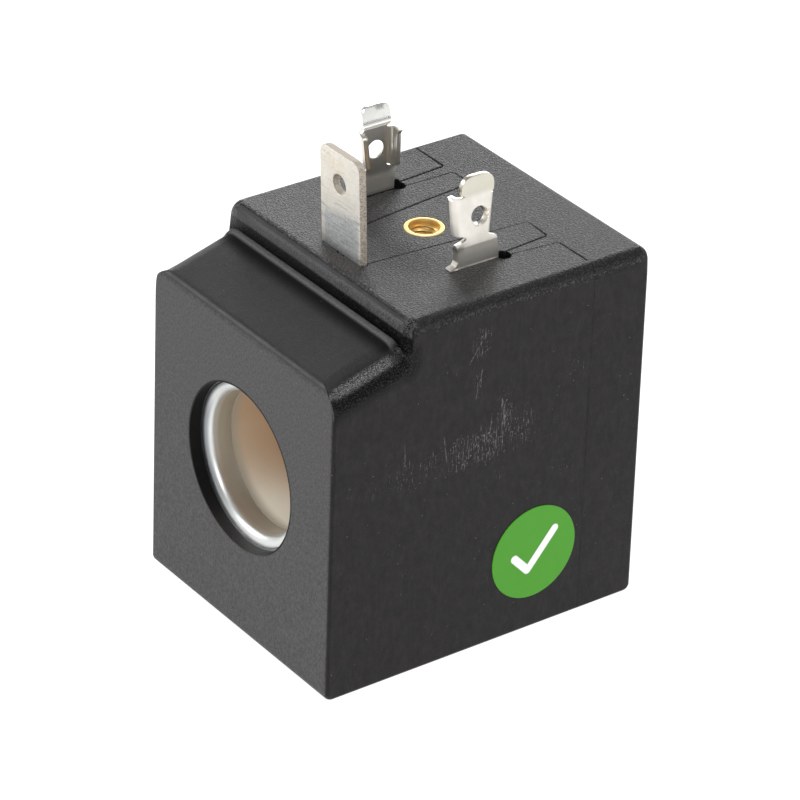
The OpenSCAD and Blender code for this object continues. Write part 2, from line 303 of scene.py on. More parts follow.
# ---------------------------------------------------------------- materials
def mat_housing():
    g = Graph("black_moulding")
    X, Y, Z = g.X, g.Y, g.Z
    NX, NY, NZ = g.normal()
    ax = g.m("ABSOLUTE", X)
    anx = g.m("ABSOLUTE", NX)
    # zones: textured upper block, rough step groove, rough side roundings of the lower front part
    block_m = g.mul(g.step(g.sub(Z, g.step(anx, 0.3, 0.6, 0.0, 0.75)), 17.5, 18.2), g.step(Y, -9.25, -9.05))
    groove_m = g.mul(g.mul(g.step(Y, -10.02, -9.95), g.step(Y, -9.2, -9.4)), g.mul(g.step(Z, 16.6, 16.8), g.step(Z, 18.42, 18.05)))
    line = g.add(g.mul(g.add(Y, 17.0), 0.2875), 12.43)
    side_m = g.mul(g.mul(g.step(ax, 12.2, 12.7), g.step(Y, -9.3, -9.6)),
                   g.mul(g.step(g.sub(Z, line), 0.0, 0.5), g.step(anx, 0.46, 0.58)))
    tex = g.mx(g.mx(block_m, groove_m), side_m)
    # matt zones besides the end faces: the bead and the front rounding of the upper block
    bead_m = g.mul(g.mul(g.step(Y, -10.87, -10.57), g.step(Y, -9.98, -10.03)), g.step(anx, 0.62, 0.42))
    brow_m = g.mul(g.mul(g.step(Y, -9.7, -9.62), g.step(Y, -9.38, -9.53)), g.mul(g.step(Z, 18.05, 18.42), g.step(anx, 0.75, 0.5)))
    # the block's front corners: coarse, with painted shade round the end of the groove
    nook_shade = g.mul(g.spot(Y, Z, -9.75, 15.9, 1.9, 2.6, 0.9), g.step(ax, 12.6, 13.4))
    peak = g.mul(g.mul(g.step(ax, 13.2, 13.7), g.step(Y, -8.3, -8.9)), g.step(Z, 16.8, 17.6))
    # the hollow in front of the bead, given painted shade below
    valley_shade = g.mul(g.mul(g.step(Y, -12.7, -11.0), g.step(Y, -10.62, -10.82)), g.step(anx, 0.6, 0.3))
    # painted shade in narrow deep places: witness lines, pits, gaps round the blades, and the mouth walls, less at the
    # bottom of the mouths
    deep_shade = g.mul(g.mul(g.step(Z, 19.765, 19.70), g.step(Z, 18.3, 18.5)), g.mul(g.step(ax, 13.5, 13.3), g.mul(g.step(Y, -8.15, -8.0), g.step(Y, 16.75, 16.6))))
    gap_shade = g.mul(g.mul(g.step(X, -8.25, -8.05), g.step(g.add(X, g.mul(g.noise(g.P, 1.6, 3.0, 0.6), 0.5)), -7.52, -7.66)), g.mul(g.mul(g.step(Y, 0.0, 0.3), g.step(Y, 5.6, 5.2)), block_m))
    pit_shade = g.mul(g.mx(g.spot(X, Y, 8.5, 5.5, 0.95, 0.85, 0.35), g.spot(X, Y, -8.25, 5.45, 0.95, 0.85, 0.35)), block_m)
    deep_shade = g.mx(deep_shade, g.mx(gap_shade, pit_shade))
    seam = g.mul(g.step(g.m("ABSOLUTE", g.sub(Y, 11.55)), 0.11, 0.04), g.step(anx, 0.9, 0.97))
    rad = g.m("SQRT", g.add(g.mul(X, X), g.mul(Z, Z)))
    mouth = g.mul(g.mul(g.step(rad, 8.70, 8.57), g.step(Z, -8.4, -5.8, 0.25, 1.0)), g.step(g.m("ABSOLUTE", Y), 16.4, 16.6))
    # spark-eroded grain
    n1 = g.noise(g.P, 4.9, 3.0, 0.64)
    v1 = g.cells(g.P, 4.2)
    grain = g.add(g.mul(g.sub(n1, 0.5), 1.35), g.mul(g.sub(v1, 0.45), 0.40))
    spark = g.noise(g.P, 6.2, 2.0, 0.68)
    # satin faces: fine grain, a little longer along Z
    drawn = g.noise(g.stretch(1, 1, 0.75), 5.2, 3.0, 0.68)
    fine = g.add(g.mul(g.sub(drawn, 0.5), 0.8), g.mul(g.sub(g.noise(g.P, 7.5, 2.0, 0.6), 0.5), 0.9))
    coarse = g.sub(g.noise(g.P, 4.6, 2.0, 0.6), 0.5)
    slope = g.step(NZ, 0.80, 0.93)                      # the sloped top of the lower front part
    plain = g.mixf(g.mx(bead_m, brow_m), g.mul(fine, g.mixf(slope, 0.065, 0.12)), g.mul(coarse, 0.30))
    rough_h = g.mixf(g.mx(side_m, peak), g.mul(grain, g.mixf(groove_m, 1.0, 0.8)), g.mul(coarse, 0.62))
    rough_h = g.mul(rough_h, g.mixf(block_m, 1.0, 1.3))
    height = g.mixf(g.mx(tex, peak), plain, rough_h)
    # scuffs on the side faces: thin upright scratches and flecks, denser along a slanting band
    turn = g.nt.nodes.new("ShaderNodeMapping")
    g.plug(turn.inputs[0], g.P)
    turn.inputs["Rotation"].default_value = (math.radians(24), 0, 0)
    turn.inputs["Scale"].default_value = (1.0, 9.0, 0.5)
    upright = g.noise(g.stretch(1, 10.5, 0.55, (0, 0.12, 0)), 1.0, 4.0, 0.74, 0.3)
    streak = g.mixf(g.step(g.add(Z, g.mul(g.noise(g.P, 0.5, 2.0, 0.5), 6.0)), 10.5, 12.5), upright, g.noise(turn.outputs[0], 1.0, 4.0, 0.74, 0.3))
    fleck = g.noise(g.stretch(1, 1.7, 1.0), 3.4, 3.0, 0.72)
    patch = g.noise(g.P, 0.32, 2.0, 0.6)
    band = None
    for cy, cz, ry, rz, k in ((-12.6, 3.4, 2.4, 2.0, 0.35), (-9.6, 3.9, 2.4, 2.3, 0.62), (-6.0, 3.9, 2.8, 2.4, 0.62), (-3.2, 4.3, 2.4, 2.4, 0.90),
                              (-0.3, 4.4, 2.6, 2.6, 1.0), (1.6, 6.6, 1.3, 3.4, 0.95), (3.3, 5.0, 2.4, 2.6, 0.80), (6.8, 4.6, 2.8, 2.2, 0.42),
                              (8.8, -0.6, 1.8, 1.6, 0.45), (0.5, 0.4, 1.7, 1.2, 0.55), (-1.6, 11.0, 0.9, 2.0, 0.72), (-1.4, 15.4, 1.3, 2.2, 0.82),
                              (-5.4, 13.4, 1.5, 1.5, 0.35), (9.4, 9.6, 2.0, 2.0, 0.40)):
        s = g.mul(g.spot(Y, Z, cy, cz, ry * 1.25, rz * 1.25, 1.0), k)
        band = s if band is None else g.mx(band, s)
    on_side = g.step(NX, 0.9, 0.97)
    lines = g.step(g.add(streak, g.mul(band, 0.135)), 0.695, 0.745)
    flecks = g.step(g.add(fleck, g.mul(band, 0.13)), 0.71, 0.78)
    scuff = g.mul(g.mul(g.step(band, 0.02, 0.2), on_side), g.mx(g.mul(lines, g.step(fleck, 0.36, 0.56, 0.45, 1.0)), g.mul(flecks, 0.75)))
    # light general wear: thin scratches, dots of dust and a cloudy film
    far = g.mul(on_side, g.mul(g.step(streak, 0.70, 0.76), g.step(patch, 0.45, 0.6, 0.0, 0.7)))
    dots = g.mul(g.step(g.cells(g.P, 1.25), 0.085, 0.045), g.step(g.noise(g.P, 1.7, 2.0, 0.6), 0.52, 0.62, 0.0, 0.6))
    speck = g.step(g.noise(g.P, 2.7, 4.0, 0.75), 0.675, 0.76, 0.0, 0.5)
    # a few longer single scratches
    longs = None
    for (ya, za), (yb, zb), k in (((1.21, 8.76), (1.62, 5.62), 0.9), ((-0.96, 16.31), (-2.78, 13.62), 0.7), ((-1.24, 12.62), (-1.89, 9.74), 0.6),
                                  ((-9.90, 7.16), (-9.82, 5.10), 0.5), ((-5.40, 6.62), (-5.01, 3.91), 0.6), ((0.12, 7.50), (-0.11, 5.20), 0.6)):
        dy, dz = yb - ya, zb - za
        u, v = g.sub(Y, ya), g.sub(Z, za)
        t = g.m("ADD", g.mul(u, dy / (dy * dy + dz * dz)), g.mul(v, dz / (dy * dy + dz * dz)), clamp=True)
        off = g.m("SQRT", g.add(g.m("POWER", g.sub(u, g.mul(t, dy)), 2.0), g.m("POWER", g.sub(v, g.mul(t, dz)), 2.0)))
        one = g.mul(g.step(off, 0.10, 0.02), k)
        longs = one if longs is None else g.mx(longs, one)
    longs = g.mul(g.mul(longs, on_side), g.step(fleck, 0.40, 0.62, 0.10, 0.8))
    scuff = g.mx(g.mul(scuff, 1.1), longs)
    wear = g.m("ADD", g.mul(g.mx(scuff, far), 0.72), g.mx(dots, speck), clamp=True)
    cloud = g.noise(g.P, 1.3, 5.0, 0.68)
    ends = g.mx(g.mx(g.step(g.m("ABSOLUTE", NY), 0.80, 0.97), bead_m), brow_m)      # the matt places
    veil = g.add(g.mul(cloud, 0.4), g.mul(g.noise(g.stretch(1, 1.8, 0.7), 1.0, 5.0, 0.74), 0.6))
    base = g.mix(g.step(veil, 0.38, 0.66), (0.0010, 0.0003, 0.0004), (0.0088, 0.0058, 0.0062))
    base = g.mix(g.step(spark, 0.52, 0.74, 0.0, 0.55), base, (0.0115, 0.0104, 0.0102))
    base = g.mix(slope, base, g.mix(cloud, (0.013, 0.013, 0.0136), (0.037, 0.037, 0.038)))
    base = g.mix(g.mul(slope, g.step(drawn, 0.46, 0.66, 0.0, 0.45)), base, (0.052, 0.052, 0.054))
    base = g.mix(ends, base, g.mix(g.step(drawn, 0.32, 0.68), (0.029, 0.0275, 0.0280), (0.071, 0.0675, 0.0684)))
    base = g.mix(g.mx(bead_m, brow_m), base, g.mix(g.step(drawn, 0.30, 0.70), (0.052, 0.052, 0.054), (0.094, 0.094, 0.097)))
    base = g.mix(g.mul(brow_m, g.lin(X, -4.0, 12.0, 0.45, 1.0)), base, g.mix(g.step(spark, 0.36, 0.66), (0.026, 0.026, 0.027), (0.110, 0.110, 0.115)))
    base = g.mix(g.mul(brow_m, g.step(X, -9.0, -13.0, 0.0, 0.7)), base, (0.022, 0.022, 0.023))
    base = g.mix(tex, base, g.mix(g.step(n1, 0.3, 0.7), (0.0055, 0.0055, 0.0056), (0.013, 0.013, 0.0132)))
    base = g.mix(g.mul(g.mx(side_m, peak), g.step(anx, 0.86, 0.72)), base, g.mix(g.step(spark, 0.42, 0.66), (0.002, 0.002, 0.0021), (0.060, 0.060, 0.062)))
    edge_m = g.mul(g.mul(g.step(anx, 0.22, 0.45), g.step(anx, 0.97, 0.88)), g.mul(g.step(Z, 18.2, 18.6), g.step(Y, -9.0, -8.6)))
    base = g.mix(g.mul(block_m, g.step(grain, 0.02, 0.26, 0.0, 0.6)), base, (0.105, 0.105, 0.107))
    base = g.mix(g.mul(block_m, g.step(grain, -0.02, -0.26, 0.0, 0.7)), base, (0.004, 0.004, 0.0041))
    base = g.mix(edge_m, base, g.mix(g.step(spark, 0.48, 0.70), (0.003, 0.003, 0.0031), (0.045, 0.045, 0.046)))
    # painted shade in the groove, fading towards the left end
    groove_m = g.mul(groove_m, g.lin(X, -13.6, 6.0, 0.45, 1.0))
    # painted shade: the lower half of the side roundings, the groove, the hollow and the corners round the groove's end
    # are made near black, with less sheen
    skirt_shade = g.mul(g.mul(g.step(g.sub(Z, line), -0.9, 0.7), g.step(anx, 0.76, 0.88)), g.mul(g.step(Y, -9.0, -9.6), g.step(g.sub(Z, line), 3.2, 2.2)))
    painted_shade = g.mx(g.mx(groove_m, g.mul(valley_shade, 0.92)), g.mx(skirt_shade, nook_shade))
    base = g.mix(painted_shade, base, g.mix(g.mul(g.step(spark, 0.50, 0.68), g.mx(g.mul(g.mx(groove_m, skirt_shade), 0.8), nook_shade)), (0.0016, 0.0016, 0.0016), (0.030, 0.030, 0.031)))
    # dust at the foot of the earth blade
    dust = g.mul(g.spot(X, Y, 1.0, -7.9, 3.4, 1.2, 1.0), g.step(n1, 0.40, 0.66))
    base = g.mix(g.mul(dust, g.mul(block_m, 0.8)), base, (0.085, 0.062, 0.045))
    base = g.mix(wear, base, (0.24, 0.235, 0.23))
    # painted shade: near black in the narrow deep places and on the mouth walls
    base = g.mix(g.mx(deep_shade, mouth), base, (0.0030, 0.0029, 0.0029))
    rough = g.lin(g.noise(g.P, 0.6, 3.0, 0.6), 0.3, 0.7, 0.36, 0.44)
    rough = g.mixf(g.mx(tex, peak), g.mixf(ends, rough, 0.56), g.mixf(g.mx(side_m, peak), 0.38, 0.20))
    rough = g.mixf(g.mx(groove_m, valley_shade), rough, 0.7)
    rough = g.mixf(wear, rough, 0.62)
    rough = g.mixf(g.mx(deep_shade, g.mul(mouth, 0.8)), rough, 0.85)
    shaded_patch = g.mul(g.spot(X, Y, 5.2, -1.6, 5.5, 3.6, 1.0), block_m)       # painted shade: a darker patch of the top beside the insert, by lower sheen
    crest = g.mul(g.mul(g.step(Y, -9.55, -9.42), g.step(Y, -9.02, -9.2)), g.step(Z, 18.9, 19.2))
    shine = g.mixf(g.mul(crest, g.step(anx, 0.6, 0.3)), g.mixf(block_m, 0.5, g.lin(Y, -8.0, 12.0, 0.68, 0.45)), 0.31)
    sheen = g.mixf(g.step(anx, 0.5, 0.85), g.mixf(shaded_patch, shine, 0.34), g.step(g.noise(g.stretch(1, 1.2, 0.8), 0.6, 6.0, 0.70), 0.30, 0.70, 0.31, 0.365))
    sheen = g.mixf(g.mul(side_m, g.mul(g.step(anx, 0.5, 0.58), g.step(anx, 0.88, 0.76))), sheen, 0.85)
    sheen = g.mixf(g.mx(g.mx(gap_shade, pit_shade), g.mul(seam, g.step(patch, 0.3, 0.7, 0.08, 0.30))), sheen, 0.08)
    gloss = g.mixf(g.mx(g.mx(groove_m, g.mul(g.mx(skirt_shade, nook_shade), 0.8)), g.mul(valley_shade, 0.85)), sheen, 0.12)
    g.set(Base_Color=base, Roughness=rough, Specular_IOR_Level=gloss, Normal=g.bump(height, 0.15))
    g.bsdf.inputs["IOR"].default_value = 1.41
    return g.mat


def mat_tin(name="tin_plate", worn=False):
    g = Graph(name)
    blot = g.noise(g.P, 0.8, 3.0, 0.55)
    drawn = g.noise(g.stretch(3.0, 3.0, 0.25), 1.2, 2.0, 0.5)
    base = g.mix(g.step(blot, 0.3, 0.7), (0.80, 0.77, 0.71), (0.75, 0.72, 0.66))
    base = g.mix(g.step(drawn, 0.55, 0.75, 0.0, 0.35), base, (0.68, 0.65, 0.59))
    if worn:
        # rub marks that run slantwise down the face, and mottled plating
        rub = g.nt.nodes.new("ShaderNodeMapping")
        g.plug(rub.inputs[0], g.P)
        rub.inputs["Rotation"].default_value = (0, math.radians(-38), 0)
        rub.inputs["Scale"].default_value = (0.40, 1.0, 4.6)
        marks = g.noise(rub.outputs[0], 1.0, 3.0, 0.65)
        mottle = g.noise(g.P, 4.6, 4.0, 0.72)
        faces = g.step(g.m("ABSOLUTE", g.normal()[1]), 0.55, 0.80)
        base = g.mix(g.step(mottle, 0.42, 0.72, 0.08, 0.58), base, (0.66, 0.605, 0.515))
        # warm stain below the top; painted reflection of the dark body as a bluish grey zone in the lower part
        stain = g.mul(g.spot(g.X, g.Z, -0.6, 28.7, 2.2, 1.6, 1.0), g.step(g.noise(g.P, 1.5, 4.0, 0.7), 0.40, 0.65))
        base = g.mix(g.mul(stain, 0.55), base, (0.68, 0.585, 0.43))
        lean = g.sub(g.Z, g.mul(g.X, 0.15))
        body_reflection = g.step(g.add(lean, g.mul(g.sub(marks, 0.5), 4.0)), 24.5, 23.2)
        body_reflection = g.mul(body_reflection, g.mul(g.step(g.X, -2.75, -2.35), g.step(g.X, 3.0, 2.6)))
        base = g.mix(g.mul(body_reflection, 0.8), base, g.mix(g.step(mottle, 0.3, 0.7), (0.60, 0.625, 0.64), (0.36, 0.38, 0.395)))
        base = g.mix(g.mul(g.step(lean, 26.0, 24.0), g.step(marks, 0.53, 0.62, 0.0, 0.7)), base, (0.36, 0.365, 0.365))
        base = g.mix(g.mul(g.step(lean, 26.0, 24.0), g.step(marks, 0.44, 0.36, 0.0, 0.5)), base, (0.80, 0.80, 0.78))
        base = g.mix(g.mul(g.step(lean, 24.5, 26.5), g.mul(g.step(marks, 0.54, 0.64), g.step(mottle, 0.42, 0.6, 0.1, 0.45))), base, (0.50, 0.43, 0.32))
        # sheared edges: warm, matt, with torn brown marks
        torn = g.mul(g.step(g.m("ABSOLUTE", g.normal()[0]), 0.6, 0.85), g.step(g.noise(g.stretch(1, 1.0, 1.7), 4.6, 4.0, 0.74), 0.46, 0.62))
        edge = g.mix(g.mul(torn, 0.85), (0.48, 0.43, 0.365), (0.16, 0.125, 0.10))
        base = g.mix(faces, edge, base)
        rough = g.mixf(faces, 0.62, g.lin(mottle, 0.3, 0.7, 0.47, 0.60))
        g.set(Base_Color=base, Roughness=rough, Metallic=g.mixf(faces, 0.25, 1.0), Normal=g.bump(g.add(mottle, g.mul(marks, 0.6)), 0.006))
        return g.mat
    else:
        # duller plating near the moulding
        rough = g.add(g.lin(blot, 0.3, 0.7, 0.29, 0.36), g.step(g.Z, 22.2, 21.4, 0.0, 0.16))
        # the bent tongue of the left blade is bright, the right tongue a little yellowed
        bent = g.mul(g.step(g.X, -2.0, -3.0), g.step(g.Z, 26.9, 27.3))
        rough = g.sub(rough, g.mul(bent, 0.04))
        base = g.mix(g.mul(bent, 0.8), base, (0.86, 0.865, 0.85))
        base = g.mix(g.mul(g.step(g.X, 2.0, 3.0), g.step(g.Z, 26.4, 27.0, 0.0, 0.8)), base, (0.61, 0.585, 0.49))
        g.set(Base_Color=base, Roughness=rough, Normal=g.bump(g.noise(g.P, 1.1, 2.0, 0.5), 0.004))
    g.bsdf.inputs["Metallic"].default_value = 1.0
    return g.mat


def mat_zinc():
    g = Graph("zinc_steel")
    turned = g.noise(g.stretch(0.4, 9.0, 0.4), 2.0, 3.0, 0.6)
    blot = g.noise(g.P, 0.8, 3.0, 0.6)
    base = g.mix(blot, (0.81, 0.825, 0.81), (0.73, 0.745, 0.73))
    ay = g.m("ABSOLUTE", g.Y)
    inner = g.mul(g.step(ay, 16.0, 15.6), g.step(ay, 14.2, 14.32))
    base = g.mix(g.mul(inner, 0.8), base, g.mix(turned, (0.63, 0.61, 0.54), (0.47, 0.45, 0.39)))
    # painted light: lighter and bluish towards the bottom of the sleeve's inner band
    base = g.mix(g.mul(inner, g.step(g.Z, -2.0, -6.0, 0.0, 0.6)), base, (0.62, 0.67, 0.66))
    # painted shade: dark outer rim of the lip, and darker on one side of the lip
    rad = g.m("SQRT", g.add(g.mul(g.X, g.X), g.mul(g.Z, g.Z)))
    lip_shade = g.mul(g.step(rad, 7.70, 8.10), g.mul(g.step(ay, 15.6, 16.0), g.step(g.Z, -6.2, -3.0)))
    base = g.mix(g.mul(lip_shade, 0.72), base, g.mix(blot, (0.20, 0.21, 0.21), (0.12, 0.125, 0.13)))
    base = g.mix(g.mul(g.step(g.X, -2.0, -7.0), g.mul(g.mul(g.step(ay, 15.6, 16.0), g.step(g.Z, 5.0, 1.5, 0.3, 1.0)), g.step(rad, 7.24, 7.60, 0.05, 0.85))), base, (0.23, 0.245, 0.26))
    rough = g.mixf(inner, g.lin(blot, 0.3, 0.7, 0.38, 0.46), 0.5)
    h = g.add(g.mul(turned, 0.6), g.mul(g.noise(g.P, 2.0, 2.0, 0.6), 0.4))
    g.set(Base_Color=base, Roughness=rough, Normal=g.bump(h, 0.004))
    g.bsdf.inputs["Metallic"].default_value = 1.0
    return g.mat


def mat_brass():
    g = Graph("brass")
    blot = g.noise(g.P, 2.2, 3.0, 0.6)
    base = g.mix(blot, (0.82, 0.60, 0.265), (0.68, 0.46, 0.165))
    rough = g.lin(blot, 0.3, 0.7, 0.38, 0.48)
    g.set(Base_Color=base, Roughness=rough, Normal=g.bump(g.noise(g.P, 12.0, 2.0, 0.6), 0.006))
    g.bsdf.inputs["Metallic"].default_value = 1.0
    return g.mat


def mat_cream():
    g = Graph("cream_moulding")
    cloud = g.noise(g.P, 0.35, 3.0, 0.6)
    grain = g.noise(g.P, 6.0, 2.0, 0.6)
    base = g.mix(cloud, (0.495, 0.350, 0.230), (0.555, 0.395, 0.262))
    # painted light: the lower part of the bore wall is made paler
    depth = g.sub(12.9, g.m("ABSOLUTE", g.Y))
    painted_light = g.mul(g.step(g.sub(g.X, g.mul(depth, 0.45)), -8.1, -1.9), g.step(g.Z, 1.0, -1.0))
    base = g.mix(painted_light, base, (0.985, 0.955, 0.845))
    # olive grey towards the steel sleeves
    base = g.mix(g.step(g.m("ABSOLUTE", g.Y), 12.9, 14.25, 0.0, 0.85), base, (0.37, 0.345, 0.285))
    g.set(Base_Color=base, Roughness=g.lin(cloud, 0.3, 0.7, 0.38, 0.5), Normal=g.bump(grain, 0.01))
    g.bsdf.inputs["Subsurface Weight"].default_value = 0.15
    g.bsdf.inputs["Subsurface Radius"].default_value = (0.001, 0.0006, 0.0004)
    return g.mat


def mat_vinyl():
    g = Graph("green_vinyl")
    cloud = g.noise(g.P, 0.7, 3.0, 0.6)
    base = g.mix(cloud, (0.058, 0.278, 0.016), (0.069, 0.310, 0.0195))
    # a plain white tick
    cy, cz = 5.8, -9.5

    def stroke(p, q, w):
        dy, dz = q[0] - p[0], q[1] - p[1]
        ll = dy * dy + dz * dz
        u = g.sub(g.Y, cy + p[0])
        v = g.sub(g.Z, cz + p[1])
        t = g.m("ADD", g.mul(u, dy / ll), g.mul(v, dz / ll), clamp=True)
        a = g.m("POWER", g.sub(u, g.mul(t, dy)), 2.0)
        b = g.m("POWER", g.sub(v, g.mul(t, dz)), 2.0)
        return g.step(g.m("SQRT", g.add(a, b)), w + 0.05, w - 0.05)
    tick = g.mx(stroke((-2.3, -0.1), (-0.7, -1.8), 0.42), stroke((-0.7, -1.8), (2.4, 1.9), 0.42))
    base = g.mix(tick, base, (0.86, 0.87, 0.86))
    g.set(Base_Color=base, Roughness=g.lin(cloud, 0.3, 0.7, 0.30, 0.40), Normal=g.bump(g.noise(g.P, 1.6, 3.0, 0.6), 0.01))
    g.bsdf.inputs["Specular IOR Level"].default_value = 0.25
    return g.mat


def mat_simple(name, ca, cb, rough, scale, metal=0.0, mm=0.01, stretch=(1, 1, 1)):
    g = Graph(name)
    n = g.noise(g.stretch(*stretch), scale, 3.0, 0.6)
    g.set(Base_Color=g.mix(n, ca, cb), Roughness=g.lin(n, 0.3, 0.7, rough - 0.05, rough + 0.08), Normal=g.bump(n, mm))
    g.bsdf.inputs["Metallic"].default_value = metal
    return g.mat


BLACK = mat_housing()
TIN = mat_tin()
EARTH = mat_tin("tin_plate_rubbed", True)
ZINC = mat_zinc()
BRASS = mat_brass()
CREAM = mat_cream()
VINYL = mat_vinyl()


def mat_copper():
    g = Graph("enamelled_copper")
    w = g.nt.nodes.new("ShaderNodeTexWave")
    w.bands_direction = "Y"
    w.inputs["Scale"].default_value = 2.1
    w.inputs["Distortion"].default_value = 0.3
    g.plug(w.inputs["Vector"], g.P)
    n = g.noise(g.P, 0.8, 3.0, 0.6)
    g.set(Base_Color=g.mix(n, (0.46, 0.15, 0.055), (0.60, 0.24, 0.09)), Roughness=g.lin(n, 0.3, 0.7, 0.2, 0.3),
          Normal=g.bump(w.outputs["Fac"], 0.06))
    g.bsdf.inputs["Metallic"].default_value = 1.0
    g.bsdf.inputs["Coat Weight"].default_value = 0.6
    return g.mat


COPPER = mat_copper()
TAPE = mat_simple("insulating_tape", (0.66, 0.50, 0.12), (0.76, 0.62, 0.2), 0.35, 0.7)
SLEEVING = mat_simple("sleeving", (0.14, 0.05, 0.025), (0.19, 0.075, 0.04), 0.6, 4.0, mm=0.03)
SOLDER = mat_simple("solder", (0.62, 0.62, 0.61), (0.72, 0.72, 0.70), 0.28, 1.6, metal=1.0, mm=0.03)

for node, mat in (("bobbin", CREAM), ("winding", COPPER), ("winding_tape", TAPE), ("start_lead", COPPER),
                  ("start_lead_patch", TAPE), ("finish_lead", COPPER), ("finish_lead_sleeve", SLEEVING),
                  ("solder_right", SOLDER), ("solder_left", SOLDER), ("ground_rivet", ZINC), ("yoke_frame", ZINC)):
    set_material(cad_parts[node], mat)


# ---------------------------------------------------------------- housing
def housing_shell():
    """The body as a loft: one side outline run across X, its edges rounded with a radius of their own at each point.
    p0 is the outline where the rounding starts, p1 where the flat side face starts, r the rounding's reach along X."""
    p0, p1, rr = [], [], []

    def put(a, b, r0, r1):
        n = len(a)
        for i in range(n):
            p0.append(a[i])
            p1.append(b[i])
            rr.append(r0 + (r1 - r0) * i / max(1, n - 1))

    def line(a, b, n):
        return [(a[0] + (b[0] - a[0]) * i / n, a[1] + (b[1] - a[1]) * i / n) for i in range(n + 1)]

    fy = lambda z: Y0 + 0.15 * (z - ZB) / 34.0      # front face leans back
    by = lambda z: Y1 - 0.11 * (z - ZB) / 37.9      # rear face leans in
    e = 0.42
    # lower front edge
    put(arc((Y0 + 0.9, ZB + 0.9), 0.9, 270, 180, 8), arc((Y0 + 0.9, ZB + 0.9), 0.9 - e, 270, 180, 8), e, e)
    # front face, up to where the corner of the lower front part starts
    z_a = 11.7
    put(line((fy(-17.0), -17.0), (fy(z_a), z_a), 4), line((fy(-17.0) + e, -17.0), (fy(z_a) + e, z_a), 4), e, e)
    # front corner: upright edge into the broad side rounding
    s = 0.2875
    sl = math.atan(s)
    top_line = lambda y: 17.08 + (y + 11.0) * s
    side_line = lambda y: 12.43 + (y + 17.0) * s
    cy = fy(12.4) + e
    rc = 0.9
    cc = (cy + rc, side_line(cy) + rc * s - rc / math.cos(sl))
    corner = arc(cc, rc, 180, 90 + math.degrees(sl), 13)
    rf = 1.0
    fc = fy(14.3) + rf
    front_arc = arc((fc, top_line(fc) - rf / math.cos(sl)), rf, 180, 90 + math.degrees(sl), 10)
    head = [(fy(12.6), 12.6), (fy(13.3), 13.3), (fy(13.9), 13.9)]
    reach = [0.44, 0.50, 0.62, 0.78, 0.90, 1.04, 1.20, 1.40, 1.62, 1.86, 2.10, 2.32, 2.50, 2.62]
    for a, b, r in zip(head + front_arc, corner, reach):
        p0.append(a)
        p1.append(b)
        rr.append(r)
    # sloped top of the lower front part
    a0 = front_arc[-1]
    b0 = corner[-1]
    ya, yb = [a0[0] + (-10.87 - a0[0]) * k / 10 for k in range(1, 11)], [b0[0] + (-10.6 - b0[0]) * k / 10 for k in range(1, 11)]
    for k in range(10):
        p0.append((ya[k], top_line(ya[k])))
        p1.append((yb[k], side_line(yb[k])))
        rr.append(2.85 if k else 2.76)
    # bead, groove, wall of the upper block
    bead = [(-10.77, 17.2), (-10.67, 17.37), (-10.52, 17.5), (-10.33, 17.58), (-10.17, 17.58), (-10.06, 17.5), (-10.0, 17.38), (-9.98, 17.15),
            (-9.94, 16.95), (-9.87, 16.85), (-9.80, 16.88), (-9.73, 17.0), (-9.66, 17.3), (-9.62, 17.8), (-9.6, 18.4)]
    side = [(-10.5, 14.32), (-10.36, 14.37), (-10.22, 14.42), (-10.1, 14.48), (-9.98, 14.55), (-9.88, 14.63), (-9.79, 14.75), (-9.72, 14.9),
            (-9.66, 15.1), (-9.61, 15.35), (-9.57, 15.68), (-9.53, 16.05), (-9.48, 16.5), (-9.42, 16.95), (-9.36, 17.3)]
    reach = [2.82, 2.8, 2.75, 2.7, 2.6, 2.42, 2.15, 1.85, 1.62, 1.45, 1.32, 1.22, 1.12, 1.06, 1.0]
    for a, b, r in zip(bead, side, reach):
        p0.append(a)
        p1.append(b)
        rr.append(r)
    # top front edge of the upper block
    zs = 18.25
    put(arc((-8.55, 18.75), 1.05, 180, 90, 10)[1:], arc((-8.5, zs - 0.8), 0.8, 180, 90, 10)[1:], 1.0, 1.15)
    # top and rear edge
    put([(17.1, ZT)], [(16.3, zs)], 1.15, 1.15)
    back = arc((by(18.9) - 0.95, ZT - 0.95), 0.95, 90, 0, 9)
    put(back + [(by(18.3), 18.3), (by(17.6), 17.6), (by(16.9), 16.9)],
        arc((by(17.0) - e - 1.1, zs - 1.1), 1.1, 90, 0, 12), 1.15, e)
    put(line((by(16.5), 16.5), (by(-17.3), -17.3), 4), line((by(16.5) - e, 16.5), (by(-17.3) - e, -17.3), 4), e, e)
    put(arc((Y1 - 0.75, ZB + 0.75), 0.75, 360, 270, 8), arc((Y1 - 0.75, ZB + 0.75), 0.75 - e, 360, 270, 8), e, e)

    n, seg = len(p0), 18
    verts, rings = [], []

    def ring(side_sign, j):
        t = math.pi / 2 * j / seg
        row = []
        for (ya, za), (yb, zb_), r in zip(p0, p1, rr):
            k = 1 - math.cos(t)
            y, z = ya + (yb - ya) * k, za + (zb_ - za) * k
            verts.append((side_sign * (half_width(z) - r * (1 - math.sin(t))), y, z))
            row.append(len(verts) - 1)
        rings.append(row)
    for j in range(seg, -1, -1):
        ring(1, j)
    for j in range(0, seg + 1):
        ring(-1, j)
    faces = [rings[0], rings[-1]]
    for a, b in zip(rings, rings[1:]):
        faces += [[a[i], a[(i + 1) % n], b[(i + 1) % n], b[i]] for i in range(n)]
    ob = new_object("housing_shell", verts, faces)
    fix_normals(ob)
    return ob


